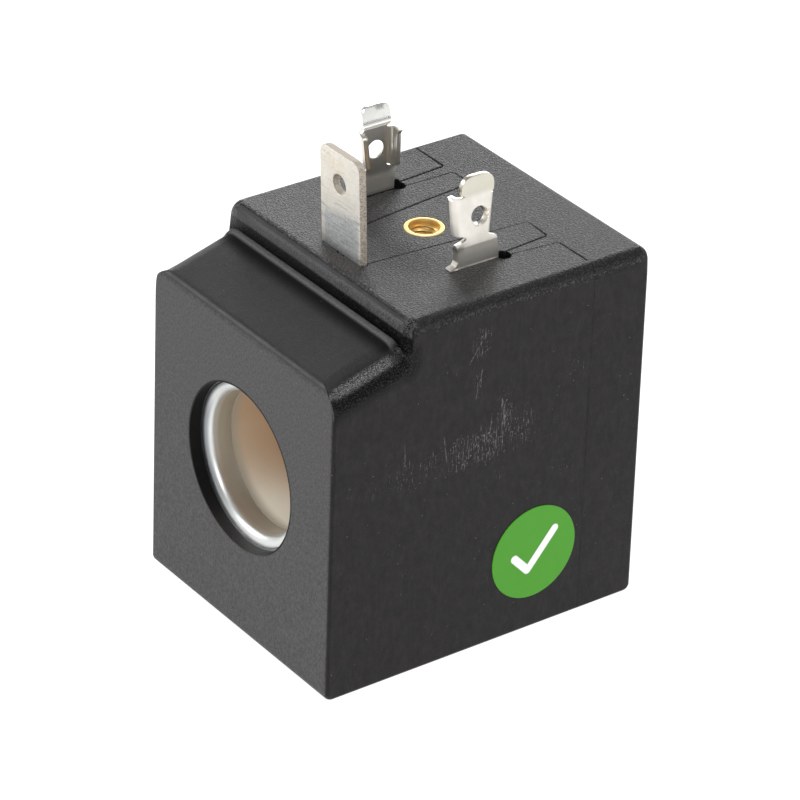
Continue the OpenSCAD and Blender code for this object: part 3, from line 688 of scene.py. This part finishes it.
def groove(name, pts, z=ZT, up=0.06):
    """V-shaped groove cutter on a level face: pts are (x, y, half width, depth)."""
    n = len(pts)
    xy = [Vector(p[:2]) for p in pts]
    verts, faces = [], []
    for i, p in enumerate(pts):
        d = (xy[min(i + 1, n - 1)] - xy[max(i - 1, 0)]).normalized()
        if 0 < i < n - 1:
            d1, d2 = (xy[i] - xy[i - 1]).normalized(), (xy[i + 1] - xy[i]).normalized()
            k = 1 / max(0.5, math.sqrt(max(0.0, (1 + d1.dot(d2)) / 2)))
        else:
            k = 1
        s = Vector((-d.y, d.x)) * p[2] * k * (1 + up / p[3])
        verts += [(xy[i].x + s.x, xy[i].y + s.y, z + up), (xy[i].x - s.x, xy[i].y - s.y, z + up), (xy[i].x, xy[i].y, z - p[3])]
    for i in range(n - 1):
        a, b = 3 * i, 3 * i + 3
        faces += [[a, a + 1, b + 1, b], [a + 1, a + 2, b + 2, b + 1], [a + 2, a, b, b + 2]]
    faces += [[0, 2, 1], [3 * n - 3, 3 * n - 2, 3 * n - 1]]
    ob = new_object(name, verts, faces)
    fix_normals(ob)
    return ob


def hoop(name, y, half, depth):
    """V groove round the body at one distance from the front, open across the top."""
    zs, r, e = 18.25, 1.15, 0.42
    path = [(12.6, ZT)]
    for i in range(9):
        t = math.pi / 2 * i / 8
        path.append((half_width(ZT) - r * (1 - math.sin(t)), ZT - (ZT - zs) * (1 - math.cos(t))))
    path.append((half_width(0), 0.0))
    path.append((half_width(ZB + e), ZB + e))
    for i in range(1, 9):
        t = math.pi / 2 * i / 8
        path.append((W_LOW - e + e * math.cos(t), ZB + e - e * math.sin(t)))
    path += [(-x, z) for x, z in reversed(path)]
    n = len(path)
    verts, faces = [], []
    for i, p in enumerate(path):
        a, b = Vector(path[max(0, i - 1)]), Vector(path[min(n - 1, i + 1)])
        d = (b - a).normalized()
        out = Vector((-d.y, d.x))
        if i < n / 2 and out.x < 0 and abs(out.x) > 0.3:
            out = -out
        if i >= n / 2 and out.x > 0 and abs(out.x) > 0.3:
            out = -out
        if abs(out.x) <= 0.3:
            out = out if (out.y > 0) == (p[1] > 0) else -out
        up = 0.05
        k = half * (1 + up / depth)
        verts += [(p[0] + out.x * up, y - k, p[1] + out.y * up), (p[0] + out.x * up, y + k, p[1] + out.y * up),
                  (p[0] - out.x * depth, y, p[1] - out.y * depth)]
    for i in range(n - 1):
        a, b = 3 * i, 3 * i + 3
        faces += [[a, a + 1, b + 1, b], [a + 1, a + 2, b + 2, b + 1], [a + 2, a, b, b + 2]]
    faces += [[0, 2, 1], [3 * n - 3, 3 * n - 2, 3 * n - 1]]
    ob = new_object(name, verts, faces)
    fix_normals(ob)
    return ob


def cad_copy(node):
    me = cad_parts[node].data.copy()
    me.transform(Matrix.Scale(1000, 4))
    ob = bpy.data.objects.new("cut_" + node, me)
    scene.collection.objects.link(ob)
    bm = bmesh.new()
    bm.from_mesh(me)
    bmesh.ops.remove_doubles(bm, verts=bm.verts, dist=1e-4)
    bmesh.ops.recalc_face_normals(bm, faces=bm.faces)
    bm.to_mesh(me)
    bm.free()
    return ob


def build_housing():
    shell = housing_shell()
    cutters = []
    # bore, mouths, flanges and wire pack
    flare = 0.12
    mouth = arc((8.45 + flare, -18.2 + flare), flare, 180, 262, 6)
    half = [(0.0, -19.6), (8.7, -19.6), (8.7, -18.22)] + list(reversed(mouth)) + [(8.45, -16.9), (8.3, -16.9), (8.3, -14.2), (13.1, -14.2), (13.1, -13.0), (12.3, -13.0)]
    full = half + [(r, -y) for r, y in reversed(half)]
    cutters.append(revolve("cut_bore", full, 128))
    # yoke
    u_out = [(-16.9, -2.0)] + arc((-13.9, 12.9), 3.0, 180, 90, 6) + arc((13.9, 12.9), 3.0, 90, 0, 6) + [(16.9, -2.0), (14.2, -2.0), (14.2, 13.2), (-14.2, 13.2), (-14.2, -2.0)]
    cutters.append(prism("cut_web", u_out, -6.2, 6.2, "X"))
    leg = arc((10, 7.5), 2, 0, 90, 5) + arc((-10, 7.5), 2, 90, 180, 5) + arc((-10, -10.8), 2, 180, 270, 5) + arc((10, -10.8), 2, 270, 360, 5)
    cutters.append(prism("cut_leg1", leg, -16.9, -14.2, "Y"))
    cutters.append(prism("cut_leg2", leg, 14.2, 16.9, "Y"))
    # lugs, blade roots, earth foot, rivet, insert
    for sgn in (1, -1):
        cutters.append(block("cut_lug", (min(6.6 * sgn, 10.2 * sgn), 13.0, 4.0), (max(6.6 * sgn, 10.2 * sgn), 14.2, 15.6)))
    root = [(0.13, 12.6), (14.0, 12.6), (14.0, 15.0), (4.92, 15.0), (4.92, 21.0), (0.13, 21.0)]
    cutters.append(prism("cut_root_r", root, 7.76, 8.62, "X"))
    root = [(0.18, 12.6), (14.0, 12.6), (14.0, 15.0), (5.07, 15.0), (5.07, 21.0), (0.18, 21.0)]
    cutters.append(prism("cut_root_l", root, -8.62, -8.05, "X"))
    cutters.append(block("cut_earth", (-3.17, -7.02, 15.9), (3.17, -6.18, 21.0)))
    cutters.append(block("cut_foot", (-3.15, -6.5, 15.9), (3.15, -0.9, 16.7)))
    cutters.append(revolve("cut_rivet", [(0, 12.5), (1.9, 12.5), (1.9, 17.4), (0, 17.4)], 48, "Z", (0, -3.4, 0)))
    cutters.append(revolve("cut_insert", [(0, 16.0), (2.0, 16.0), (2.0, 19.70), (2.02, 19.82), (2.02, 21.0), (0, 21.0)], 64, "Z", (0, INS_Y, 0)))
    for node in ("start_lead", "finish_lead", "finish_lead_sleeve", "solder_right", "solder_left"):
        cutters.append(cad_copy(node))
    boolean(shell, union_all(cutters))
    # witness lines of the mould on the top, and the parting line round the body
    w = []
    w.append(groove("w1", [(-14.2, 11.65, 0.105, 0.154), (-9.4, 11.65, 0.135, 0.220), (-9.2, 11.4, 0.150, 0.264), (-8.85, 6.6, 0.150, 0.308), (-8.75, 5.4, 0.150, 0.308)]))
    w.append(groove("w2", [(-7.85, 5.2, 0.075, 0.110), (-7.7, 11.5, 0.075, 0.110), (-7.5, 11.65, 0.075, 0.110), (-5.1, 11.65, 0.105, 0.154), (-4.8, 11.3, 0.105, 0.176), (-4.74, 10.0, 0.120, 0.198),
                           (-4.3, 5.6, 0.135, 0.220), (-3.63, -0.1, 0.150, 0.242), (-3.38, -1.7, 0.150, 0.242), (-3.22, -6.3, 0.120, 0.176)]))
    w.append(groove("w3", [(3.18, -6.3, 0.075, 0.110), (3.3, -3.2, 0.075, 0.110), (3.76, 2.95, 0.083, 0.121), (4.2, 7.8, 0.075, 0.110), (4.36, 11.35, 0.075, 0.110), (4.6, 11.5, 0.090, 0.132),
                           (7.45, 11.35, 0.120, 0.176), (7.65, 11.1, 0.120, 0.198), (8.0, 6.6, 0.135, 0.242), (8.12, 5.0, 0.150, 0.264)]))
    w.append(groove("w4", [(8.62, 4.9, 0.090, 0.132), (8.9, 7.6, 0.075, 0.110), (9.25, 11.2, 0.075, 0.110), (9.45, 11.45, 0.090, 0.132), (13.6, 11.47, 0.112, 0.176)]))
    w.append(hoop("w5", 11.55, 0.05, 0.035))
    boolean(shell, union_all(w))
    # pits at the rear foot of the power blades
    rng = np.random.RandomState(7)
    for k, (px, py, pr, kx) in enumerate(((8.55, 5.62, 0.50, 1.35), (-8.3, 5.55, 0.50, 1.35), (-0.2, -7.12, 0.20, 1.0), (0.62, -7.15, 0.13, 1.0), (3.22, -6.5, 0.24, 1.0))):
        verts, faces = [], []
        for i in range(14):
            t = 2 * math.pi * i / 14
            r = pr * (1.0 + 0.22 * rng.rand())
            verts.append((px + r * math.cos(t) * kx, py + r * math.sin(t), ZT + 0.1))
        for i in range(14):
            v = verts[i]
            verts.append((px + (v[0] - px) * 0.7, py + (v[1] - py) * 0.7, ZT - min(1.0, 2.2 * pr)))
        faces = [list(range(14)), list(range(14, 28))] + [[i, (i + 1) % 14, 14 + (i + 1) % 14, 14 + i] for i in range(14)]
        pit = new_object("pit%d" % k, verts, faces)
        fix_normals(pit)
        boolean(shell, pit)
    # lumps of flash beside them
    for k, (px, py, r, h) in enumerate(((8.42, 5.38, 0.44, 0.42), (-8.28, 5.33, 0.40, 0.75))):
        lump = revolve("lump%d" % k, [(0, ZT - 0.5), (r * 0.9, ZT - 0.5), (r, ZT), (r * 0.9, ZT + h * 0.45), (r * 0.55, ZT + h * 0.82), (0, ZT + h)], 20, "Z", (px, py, 0))
        for v in lump.data.vertices:
            q = 1 + 0.25 * noise.noise(Vector((v.co.x * 2.1, v.co.y * 2.1, v.co.z * 2.1)))
            v.co.x, v.co.y = px + (v.co.x - px) * q, py + (v.co.y - py) * q
        boolean(shell, lump, "UNION")
    shell.name = "moulded_body"
    shell.data.name = "moulded_body"
    set_material(shell, BLACK)
    finish_mesh(shell, 32)
    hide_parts("housing")
    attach(shell, "root")
    return shell


# ---------------------------------------------------------------- sheet blades
def smooth_outline(pts):
    """Rounds the corners of an outline whose points are (s, t, radius)."""
    out = []
    m = len(pts)
    for i in range(m):
        p = Vector(pts[i][:2])
        r = pts[i][2]
        if r <= 0:
            out.append((p.x, p.y))
            continue
        a, b = Vector(pts[i - 1][:2]) - p, Vector(pts[(i + 1) % m][:2]) - p
        ang = a.angle(b)
        ka, kb = 0.49 if pts[i - 1][2] > 0.3 else 0.85, 0.49 if pts[(i + 1) % m][2] > 0.3 else 0.85
        tl = min(r / math.tan(ang / 2), a.length * ka, b.length * kb)
        p1, p2 = p + a.normalized() * tl, p + b.normalized() * tl
        n = 1 if r < 0.08 else 2 if r < 0.15 else 4 if r < 0.5 else 7 if r < 1 else 12
        for k in range(n + 1):
            u = k / n
            q = p1 * (1 - u) ** 2 + p * 2 * u * (1 - u) + p2 * u * u
            out.append((q.x, q.y))
    return out


def sheet(name, outline, thick, holes, s_cuts, t_cuts, place, edge=0.045, seg=2):
    """A stamped sheet: outline in (s, t), pierced, its edges eased, then bent by place(s, t, w)."""
    ob = prism(name, outline, -thick / 2, thick / 2, "Z")
    for s, t, d0, d1 in holes:
        # d0 and d1 are the diameters at the back and front face
        m0, k = (d0 + d1) / 4, (d1 - d0) / (2 * thick)
        h = thick / 2 + 0.15
        boolean(ob, revolve("hole", [(0, -h), (m0 - k * h, -h), (m0 + k * h, h), (0, h)], 40, "Z", (s, t, 0)))
    m = ob.modifiers.new("bevel", "BEVEL")
    m.width = edge
    m.segments = seg
    m.limit_method = "ANGLE"
    m.angle_limit = math.radians(50)
    m.use_clamp_overlap = True
    apply_modifiers(ob)
    bm = bmesh.new()
    bm.from_mesh(ob.data)
    bmesh.ops.triangulate(bm, faces=[f for f in bm.faces if len(f.verts) > 4])
    for s in s_cuts:
        bmesh.ops.bisect_plane(bm, geom=bm.verts[:] + bm.edges[:] + bm.faces[:], dist=1e-5, plane_co=(s, 0, 0), plane_no=(1, 0, 0))
    for t in t_cuts:
        bmesh.ops.bisect_plane(bm, geom=bm.verts[:] + bm.edges[:] + bm.faces[:], dist=1e-5, plane_co=(0, t, 0), plane_no=(0, 1, 0))
    bmesh.ops.remove_doubles(bm, verts=bm.verts, dist=1e-4)
    for v in bm.verts:
        v.co = Vector(place(v.co.x, v.co.y, v.co.z))
    bmesh.ops.recalc_face_normals(bm, faces=bm.faces)
    bm.to_mesh(ob.data)
    bm.free()
    return ob


def bend_path(s, s0, r, ang, w):
    """A sheet that runs along s and turns through ang (radians) after s0 with mid radius r: returns (along, inward).
    w is the distance from the mid plane, positive on the outer side of the bend."""
    d = s - s0
    if d <= 0:
        return s, -w
    full = r * ang
    a = min(d / r, ang)
    rad = r + w
    along, inward = s0 + rad * math.sin(a), r - rad * math.cos(a)
    if d > full:
        along += (d - full) * math.cos(ang)
        inward += (d - full) * math.sin(ang)
    return along, inward


def build_power_blade(name, node, turned):
    """Stamped and folded power blade. The left one is turned half round, stands upright and has its tongue bent outwards."""
    T = 0.5
    top = 7.12 if turned else 6.8
    pts = [(0.15, -2.9, 0), (4.9, -2.9, 0), (4.9, -2.2, 0), (4.68, -0.25, 0.1), (4.66, 0.0, 0.1), (4.52, 0.34, 0.12), (4.05, 0.52, 0.08),
           (3.72, 0.64, 0.05), (3.58, 0.72, 0.05), (3.72, 0.80, 0.05)]
    if turned:
        pts += [(4.34, 0.90, 0.15), (4.83, 4.36, 0.25), (4.38, 4.55, 0.06), (4.1, 4.61, 0.05), (4.1, 4.71, 0.05), (3.92, 4.86, 0.15),
                (3.84, top, 1.15), (0.60, top, 1.15), (0.66, 5.0, 0.1), (1.05, 4.89, 0.05), (1.2, 4.84, 0.05), (1.2, 4.75, 0.05),
                (1.0, 4.70, 0.1), (0.45, 4.72, 0.3), (-0.15, 4.60, 0.1), (-0.60, 4.56, 0.02), (-0.34, 4.2, 0.2), (-0.34, 0.75, 0.3),
                (0.4, 0.66, 0.2), (1.0, 0.77, 0.06), (1.13, 0.72, 0.05), (1.05, 0.61, 0.06)]
    else:
        pts += [(4.62, 0.90, 0.15), (5.10, 4.36, 0.25), (4.38, 4.55, 0.06), (4.2, 4.61, 0.05), (4.24, 4.71, 0.05), (4.5, 4.82, 0.2),
                (4.64, top, 1.45), (0.80, top, 1.3), (0.88, 5.06, 0.1), (1.08, 4.97, 0.05), (1.2, 4.92, 0.05), (1.2, 4.84, 0.05),
                (1.0, 4.80, 0.1), (0.45, 4.77, 0.3), (0.0, 4.82, 0.1), (-0.40, 4.93, 0.02), (-0.20, 4.5, 0.2), (-0.14, 1.15, 0.3),
                (0.4, 0.98, 0.2), (1.0, 0.92, 0.06), (1.13, 0.80, 0.05), (1.05, 0.66, 0.06)]
    pts += [(0.6, 0.5, 0.1), (-0.16, 0.42, 0.12), (-0.12, 0.05, 0.12), (0.12, -0.45, 0.2), (0.17, -1.4, 0.15)]
    if not turned:
        pts += [(-0.1, -1.83, 0.12), (-0.68, -2.0, 0.06), (-0.68, -2.22, 0)]
    pts += [(0.15, -2.22, 0)]
    outline = smooth_outline(pts)
    # lean of the sheet at each height t: positive is inwards, degrees
    if turned:
        bends = ((-3, 0.2), (-0.05, 0.2), (0.05, 0.6), (2.5, 0.2), (4.92, -0.4), (4.99, -38), (5.20, -38), (5.28, -2), (5.36, -2),
                 (5.42, -34), (5.50, -34), (5.58, -3), (5.64, -3), (5.72, -11), (7.3, -14))
    else:
        bends = ((-3, 0), (-0.06, 0), (0.06, 7.2), (2.5, 8.4), (4.9, 8.2), (5.06, 1.5), (7.2, 0.2))
    grid = np.linspace(-3, 7.3, 2061)
    ang = np.radians(np.interp(grid, [q[0] for q in bends], [q[1] for q in bends]))
    step = grid[1] - grid[0]
    xs = 8.6 - T / 2 - np.cumsum(np.sin(ang)) * step
    zs = np.cumsum(np.cos(ang)) * step
    zs += BEND_Z - np.interp(0.0, grid, zs)
    xs += 8.6 - T / 2 - np.interp(-0.5, grid, xs)

    def rise(t):
        return float(np.interp(t, grid, xs)), float(np.interp(t, grid, zs)), float(np.interp(t, grid, ang))

    def place(s, t, w):
        inward, y = -w, s
        fold = (3.28 if turned else 3.58) + 0.14 * (t - 0.77)
        if (0.665 if turned else 0.79) < t < (4.8 if turned else 4.88) and s < 1.3:
            along, inward = bend_path(-s, -1.3, 0.75 if turned else 0.9, math.radians(84 if turned else 77), w)
            y = -along
        elif 0.76 < t < 4.58 and s > fold:
            y, inward = bend_path(s, fold, 0.30, math.radians(80), w)
        elif t < 0.66 and s < 0.9:
            inward -= 0.14 * (0.9 - s) * max(0.0, min(1.0, (t + 0.5) / 0.7))     # the front shoulder is bent out a little
        x, z, a = rise(t)
        if w < 0 and not turned and t < 0.25:
            inward -= w * 1.2 * min(1.0, (0.25 - t) / 0.35)                      # the base is thicker than the formed part
        if -2.3 < t < -1.9:
            # burr where the sheet leaves the moulding
            k = 0.5 + 0.5 * noise.noise(Vector((s * 2.3, 1.7, 4.0 if turned else 0.0))) + 0.35 * noise.noise(Vector((s * 6.1, 5.2, 0)))
            inward -= 0.085 * max(0.15, k) * math.exp(-((t + 2.08) / 0.07) ** 2) * (1 if w > 0 else 0.3)
        px, pz = x - inward * math.cos(a), z - inward * math.sin(a)
        if turned:
            return -px, 2 * INS_Y - y - 0.1, pz
        return px, y, pz

    s_cuts = [1.3 - 0.1 * i for i in range(19)] + [3.25 + 0.05 * i for i in range(29)] + [1.9, 2.6, 3.0]
    t_cuts = [-2.3, -2.22, -2.16, -2.12, -2.08, -2.04, -2.0, -1.94, -1.88] + [-0.06, -0.02, 0.02, 0.06] + [4.9 + 0.03 * i for i in range(29)]
    t_cuts += [0.665, 0.76, 0.79, 4.58, 4.8, 4.88] + [0.5 * i + 0.1 for i in range(1, 10)] + [5.6, 6.0, 6.4]
    ob = sheet(name, outline, T, [(2.55, 2.66, 1.85, 2.4) if turned else (2.75, 2.66, 1.5, 1.95)], s_cuts, t_cuts, place)
    # two small pinches beside the hole
    for t, s in (((2.95, 3.80), (2.45, 3.76)) if not turned else ()):
        x, z, a = rise(t)
        boolean(ob, revolve("pinch", [(0, -0.2), (0.1, -0.17), (0.16, -0.08), (0.17, 0.0), (0.16, 0.08), (0.1, 0.17), (0, 0.2)], 16, "Z",
                            (x + 0.27, s, z)))
    # buried tail
    ya, yb = (0.15, 4.85) if not turned else (0.35, 5.05)
    tail = prism("tail", [(ya, 12.6), (14.0, 12.6), (14.0, 15.0), (yb, 15.0), (yb, 19.05), (ya, 19.05)], 8.1 if turned else 7.8, 8.6, "X")
    if turned:
        tail.data.transform(Matrix.Scale(-1, 4, Vector((1, 0, 0))))
        fix_normals(tail)
    boolean(ob, tail, "UNION")
    set_material(ob, TIN)
    finish_mesh(ob, 40)
    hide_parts(node)
    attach(ob, "root")
    return ob


def build_earth_blade():
    w = 3.15
    top = ZT + 10.4
    pts = [(-w, 16.0, 0), (w, 16.0, 0), (w, top, 1.2), (-w, top, 1.25)]
    outline = smooth_outline(pts)

    def place(s, t, wv):
        h = max(0.0, t - ZT)
        # the blade leans and bows slightly towards the front, and its sheared edges are rough
        y = -6.6 - 0.036 * h - 0.0008 * h * h - wv + 0.02 * math.sin(s * 0.9) * min(1.0, h / 3)
        x = s - 0.006 * h
        if abs(abs(s) - w) < 0.02 and t > ZT - 1:
            k = noise.noise(Vector((t * 3.1, wv * 2.2, s))) * 0.06 + noise.noise(Vector((t * 8.3, wv * 5.1, s + 3))) * 0.05
            x -= math.copysign(abs(k), s)
        return x, y, t

    cuts = [ZT - 0.5 + 0.12 * i for i in range(90)]
    ob = sheet("earth_blade", outline, 0.8, [(-0.1, ZT + 7.1, 2.0, 2.0)], [-2.2, -1.2, 1.2, 2.2], cuts, place, 0.09, 3)
    foot = block("foot", (-3.15, -6.9, 15.9), (3.15, -0.9, 16.7))
    boolean(ob, foot, "UNION")
    boolean(ob, revolve("rivet_hole", [(0, 15), (1.1, 15), (1.1, 17.2), (0, 17.2)], 40, "Z", (0, -3.4, 0)))
    set_material(ob, EARTH)
    finish_mesh(ob, 40)
    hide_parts("ground_tab")
    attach(ob, "root")
    return ob


# ---------------------------------------------------------------- turned pieces
def build_insert():
    """Brass insert: knurled outside, flush rim, counterbore and a right-hand M3 x 0.5 thread."""
    n, pitch = 96, 0.5
    core, major = 1.25, 1.48
    rows = []
    z_lo, z_hi = 16.4, 19.26

    def thread(z, t):
        u = ((z / pitch - t / (2 * math.pi)) % 1.0)
        tri = 1 - abs(2 * u - 1)
        tri = min(1.0, max(0.0, (tri - 0.12) / 0.72))
        fade = min(1.0, (z - z_lo) / 0.4)
        return core + (major - core) * tri * fade
    verts, faces = [], []

    def add_row(f):
        row = []
        for k in range(n):
            t = 2 * math.pi * k / n
            r, z = f(t, k)
            verts.append((r * math.cos(t), INS_Y + r * math.sin(t), z))
            row.append(len(verts) - 1)
        rows.append(row)
    knurl = lambda k: 2.0 - (0.12 if k % 4 in (0, 1) else 0.0)
    add_row(lambda t, k: (1.85, 16.0))
    add_row(lambda t, k: (knurl(k), 16.15))
    add_row(lambda t, k: (knurl(k), 17.4))
    add_row(lambda t, k: (1.8, 17.45))
    add_row(lambda t, k: (1.8, 17.85))
    add_row(lambda t, k: (knurl(k), 17.9))
    add_row(lambda t, k: (knurl(k), 19.3))
    add_row(lambda t, k: (1.97, 19.4))
    add_row(lambda t, k: (1.99, 19.60))
    add_row(lambda t, k: (1.985, 19.74))
    add_row(lambda t, k: (1.95, 19.79))
    add_row(lambda t, k: (1.88, 19.80))
    add_row(lambda t, k: (1.60, 19.80))
    add_row(lambda t, k: (1.54, 19.78))
    add_row(lambda t, k: (1.52, 19.72))
    add_row(lambda t, k: (1.50, 19.30))
    steps = 60
    for i in range(steps + 1):
        z = z_hi - (z_hi - z_lo) * i / steps
        add_row(lambda t, k, z=z: (thread(z, t), z))
    add_row(lambda t, k: (0.7, z_lo - 0.25))
    for a, b in zip(rows, rows[1:]):
        faces += [[a[k], a[(k + 1) % n], b[(k + 1) % n], b[k]] for k in range(n)]
    faces += [rows[0], rows[-1]]
    ob = new_object("screw_insert", verts, faces)
    fix_normals(ob)
    set_material(ob, BRASS)
    finish_mesh(ob, 45, weighted=False)
    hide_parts("thread_insert")
    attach(ob, "root")


def build_sleeve(name, node, sign):
    """Flux sleeve: steel ring with a broad rolled lip towards the mouth."""
    a = -16.9
    pts = [(8.28, a + 0.12), (8.26, a + 0.04), (8.2, a)]
    pts += [(8.15 - 1.0 * math.sin(math.pi * i / 24), a + 0.78 - 0.78 * math.cos(math.pi * i / 24)) for i in range(13)]
    pts += [(7.15, a + 1.6), (7.15, -14.36), (7.2, -14.22), (8.2, -14.22), (8.28, -14.3)]
    pts = [(r, y * sign) for r, y in pts]
    ob = revolve(name, pts, 160, closed=True)
    set_material(ob, ZINC)
    finish_mesh(ob, 40, weighted=False)
    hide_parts(node)
    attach(ob, "root")


def build_sticker():
    """Round vinyl sticker on the right face: thin, with a slightly lifted, eased rim."""
    cy, cz, r, th = 5.8, -9.5, 4.95, 0.085
    n = 128
    prof = [(0.0, th), (1.6, th), (3.2, th), (4.3, th), (4.7, th + 0.004), (4.86, th + 0.008), (4.93, th - 0.005), (4.95, th * 0.5), (4.95, 0.006), (4.9, 0.0), (0.0, 0.0)]
    ob = revolve("round_sticker", prof, n, "Z")
    # local: height along +X of the drafted side face
    for v in ob.data.vertices:
        x, y, h = v.co
        yy, zz = cy + x, cz + y
        v.co = (half_width(zz) + h, yy, zz)
    fix_normals(ob)
    set_material(ob, VINYL)
    finish_mesh(ob, 40, weighted=False)
    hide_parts("inspection_sticker")
    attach(ob, "root")


build_housing()
build_power_blade("right_blade", "terminal_right", False)
build_power_blade("left_blade", "terminal_left", True)
build_earth_blade()
build_insert()
build_sleeve("front_sleeve", "front_flux_sleeve", 1)
build_sleeve("rear_sleeve", "rear_flux_sleeve", -1)
build_sticker()

# ---------------------------------------------------------------- floor
floor_me = bpy.data.meshes.new("floor")
s = 1.6
floor_me.from_pydata([(-s, -s, ZB * 0.001 - 0.00002), (s, -s, ZB * 0.001 - 0.00002), (s, s, ZB * 0.001 - 0.00002), (-s, s, ZB * 0.001 - 0.00002)], [], [[0, 1, 2, 3]])
floor = bpy.data.objects.new("floor", floor_me)
scene.collection.objects.link(floor)
fg = Graph("pale_floor")
fn = fg.noise(fg.P, 0.05, 2.0, 0.5)
fg.set(Base_Color=fg.mix(fn, (0.38, 0.38, 0.38), (0.40, 0.40, 0.40)), Roughness=0.8, Emission_Color=(1.0, 1.0, 1.0, 1.0), Emission_Strength=0.85)
floor_me.materials.append(fg.mat)

# ---------------------------------------------------------------- light
world = bpy.data.worlds.new("studio")
scene.world = world
world.use_nodes = True
bg = world.node_tree.nodes["Background"]
bg.inputs[0].default_value = (1.0, 1.0, 1.0, 1.0)
bg.inputs[1].default_value = 0.30


def softbox(name, pos, size, power, target=(0, 0, 0)):
    li = bpy.data.lights.new(name, "AREA")
    li.shape = "RECTANGLE"
    li.size, li.size_y = size
    li.energy = power
    ob = bpy.data.objects.new(name, li)
    ob.location = pos
    d = Vector(target) - Vector(pos)
    ob.rotation_euler = d.to_track_quat("-Z", "Y").to_euler()
    scene.collection.objects.link(ob)
    return ob


softbox("left_box", (-0.42, -0.36, 0.30), (0.40, 0.30), 1.75)
softbox("rear_left_box", (-0.45, 0.40, 0.20), (0.46, 0.19), 2.0)
softbox("fill_box", (0.40, -0.46, 0.32), (0.40, 0.30), 1.5)
softbox("rear_right_box", (0.20, 0.60, 0.22), (0.25, 0.25), 0.5)
softbox("right_box", (0.38, 0.12, 0.50), (0.35, 0.30), 1.6)

# ---------------------------------------------------------------- camera
az, el, roll = math.radians(53.204), math.radians(30.005), math.radians(-2.013)
f_px, tx, ty, dist = 4299.014, -1.430, 2.800, 413.335
back = np.array([math.sin(az) * math.cos(el), -math.cos(az) * math.cos(el), math.sin(el)])
fwd = -back
right = np.cross(fwd, [0, 0, 1.0])
right /= np.linalg.norm(right)
down = -np.cross(right, fwd)
c, s_ = math.cos(roll), math.sin(roll)
M = np.array([c * right + s_ * down, -s_ * right + c * down, fwd])
centre = np.array([0, 17.0, 17.0]) - M.T @ np.array([tx, ty, dist]) - np.array([0, 18.2, 18.1])
cam_data = bpy.data.cameras.new("camera")
cam = bpy.data.objects.new("camera", cam_data)
scene.collection.objects.link(cam)
cam_data.sensor_fit = "HORIZONTAL"
cam_data.sensor_width = 36.0
cam_data.lens = f_px / 800.0 * 36.0
cam_data.clip_start = 0.01
cam_data.clip_end = 10.0
rot = Matrix((M[0], -M[1], -M[2])).transposed()
cam.matrix_world = Matrix.Translation(Vector(centre) * 0.001) @ rot.to_4x4()
scene.camera = cam
scene.view_settings.view_transform = "Standard"
scene.view_settings.look = "None"
scene.view_settings.exposure = 0.0
scene.view_settings.gamma = 1.0
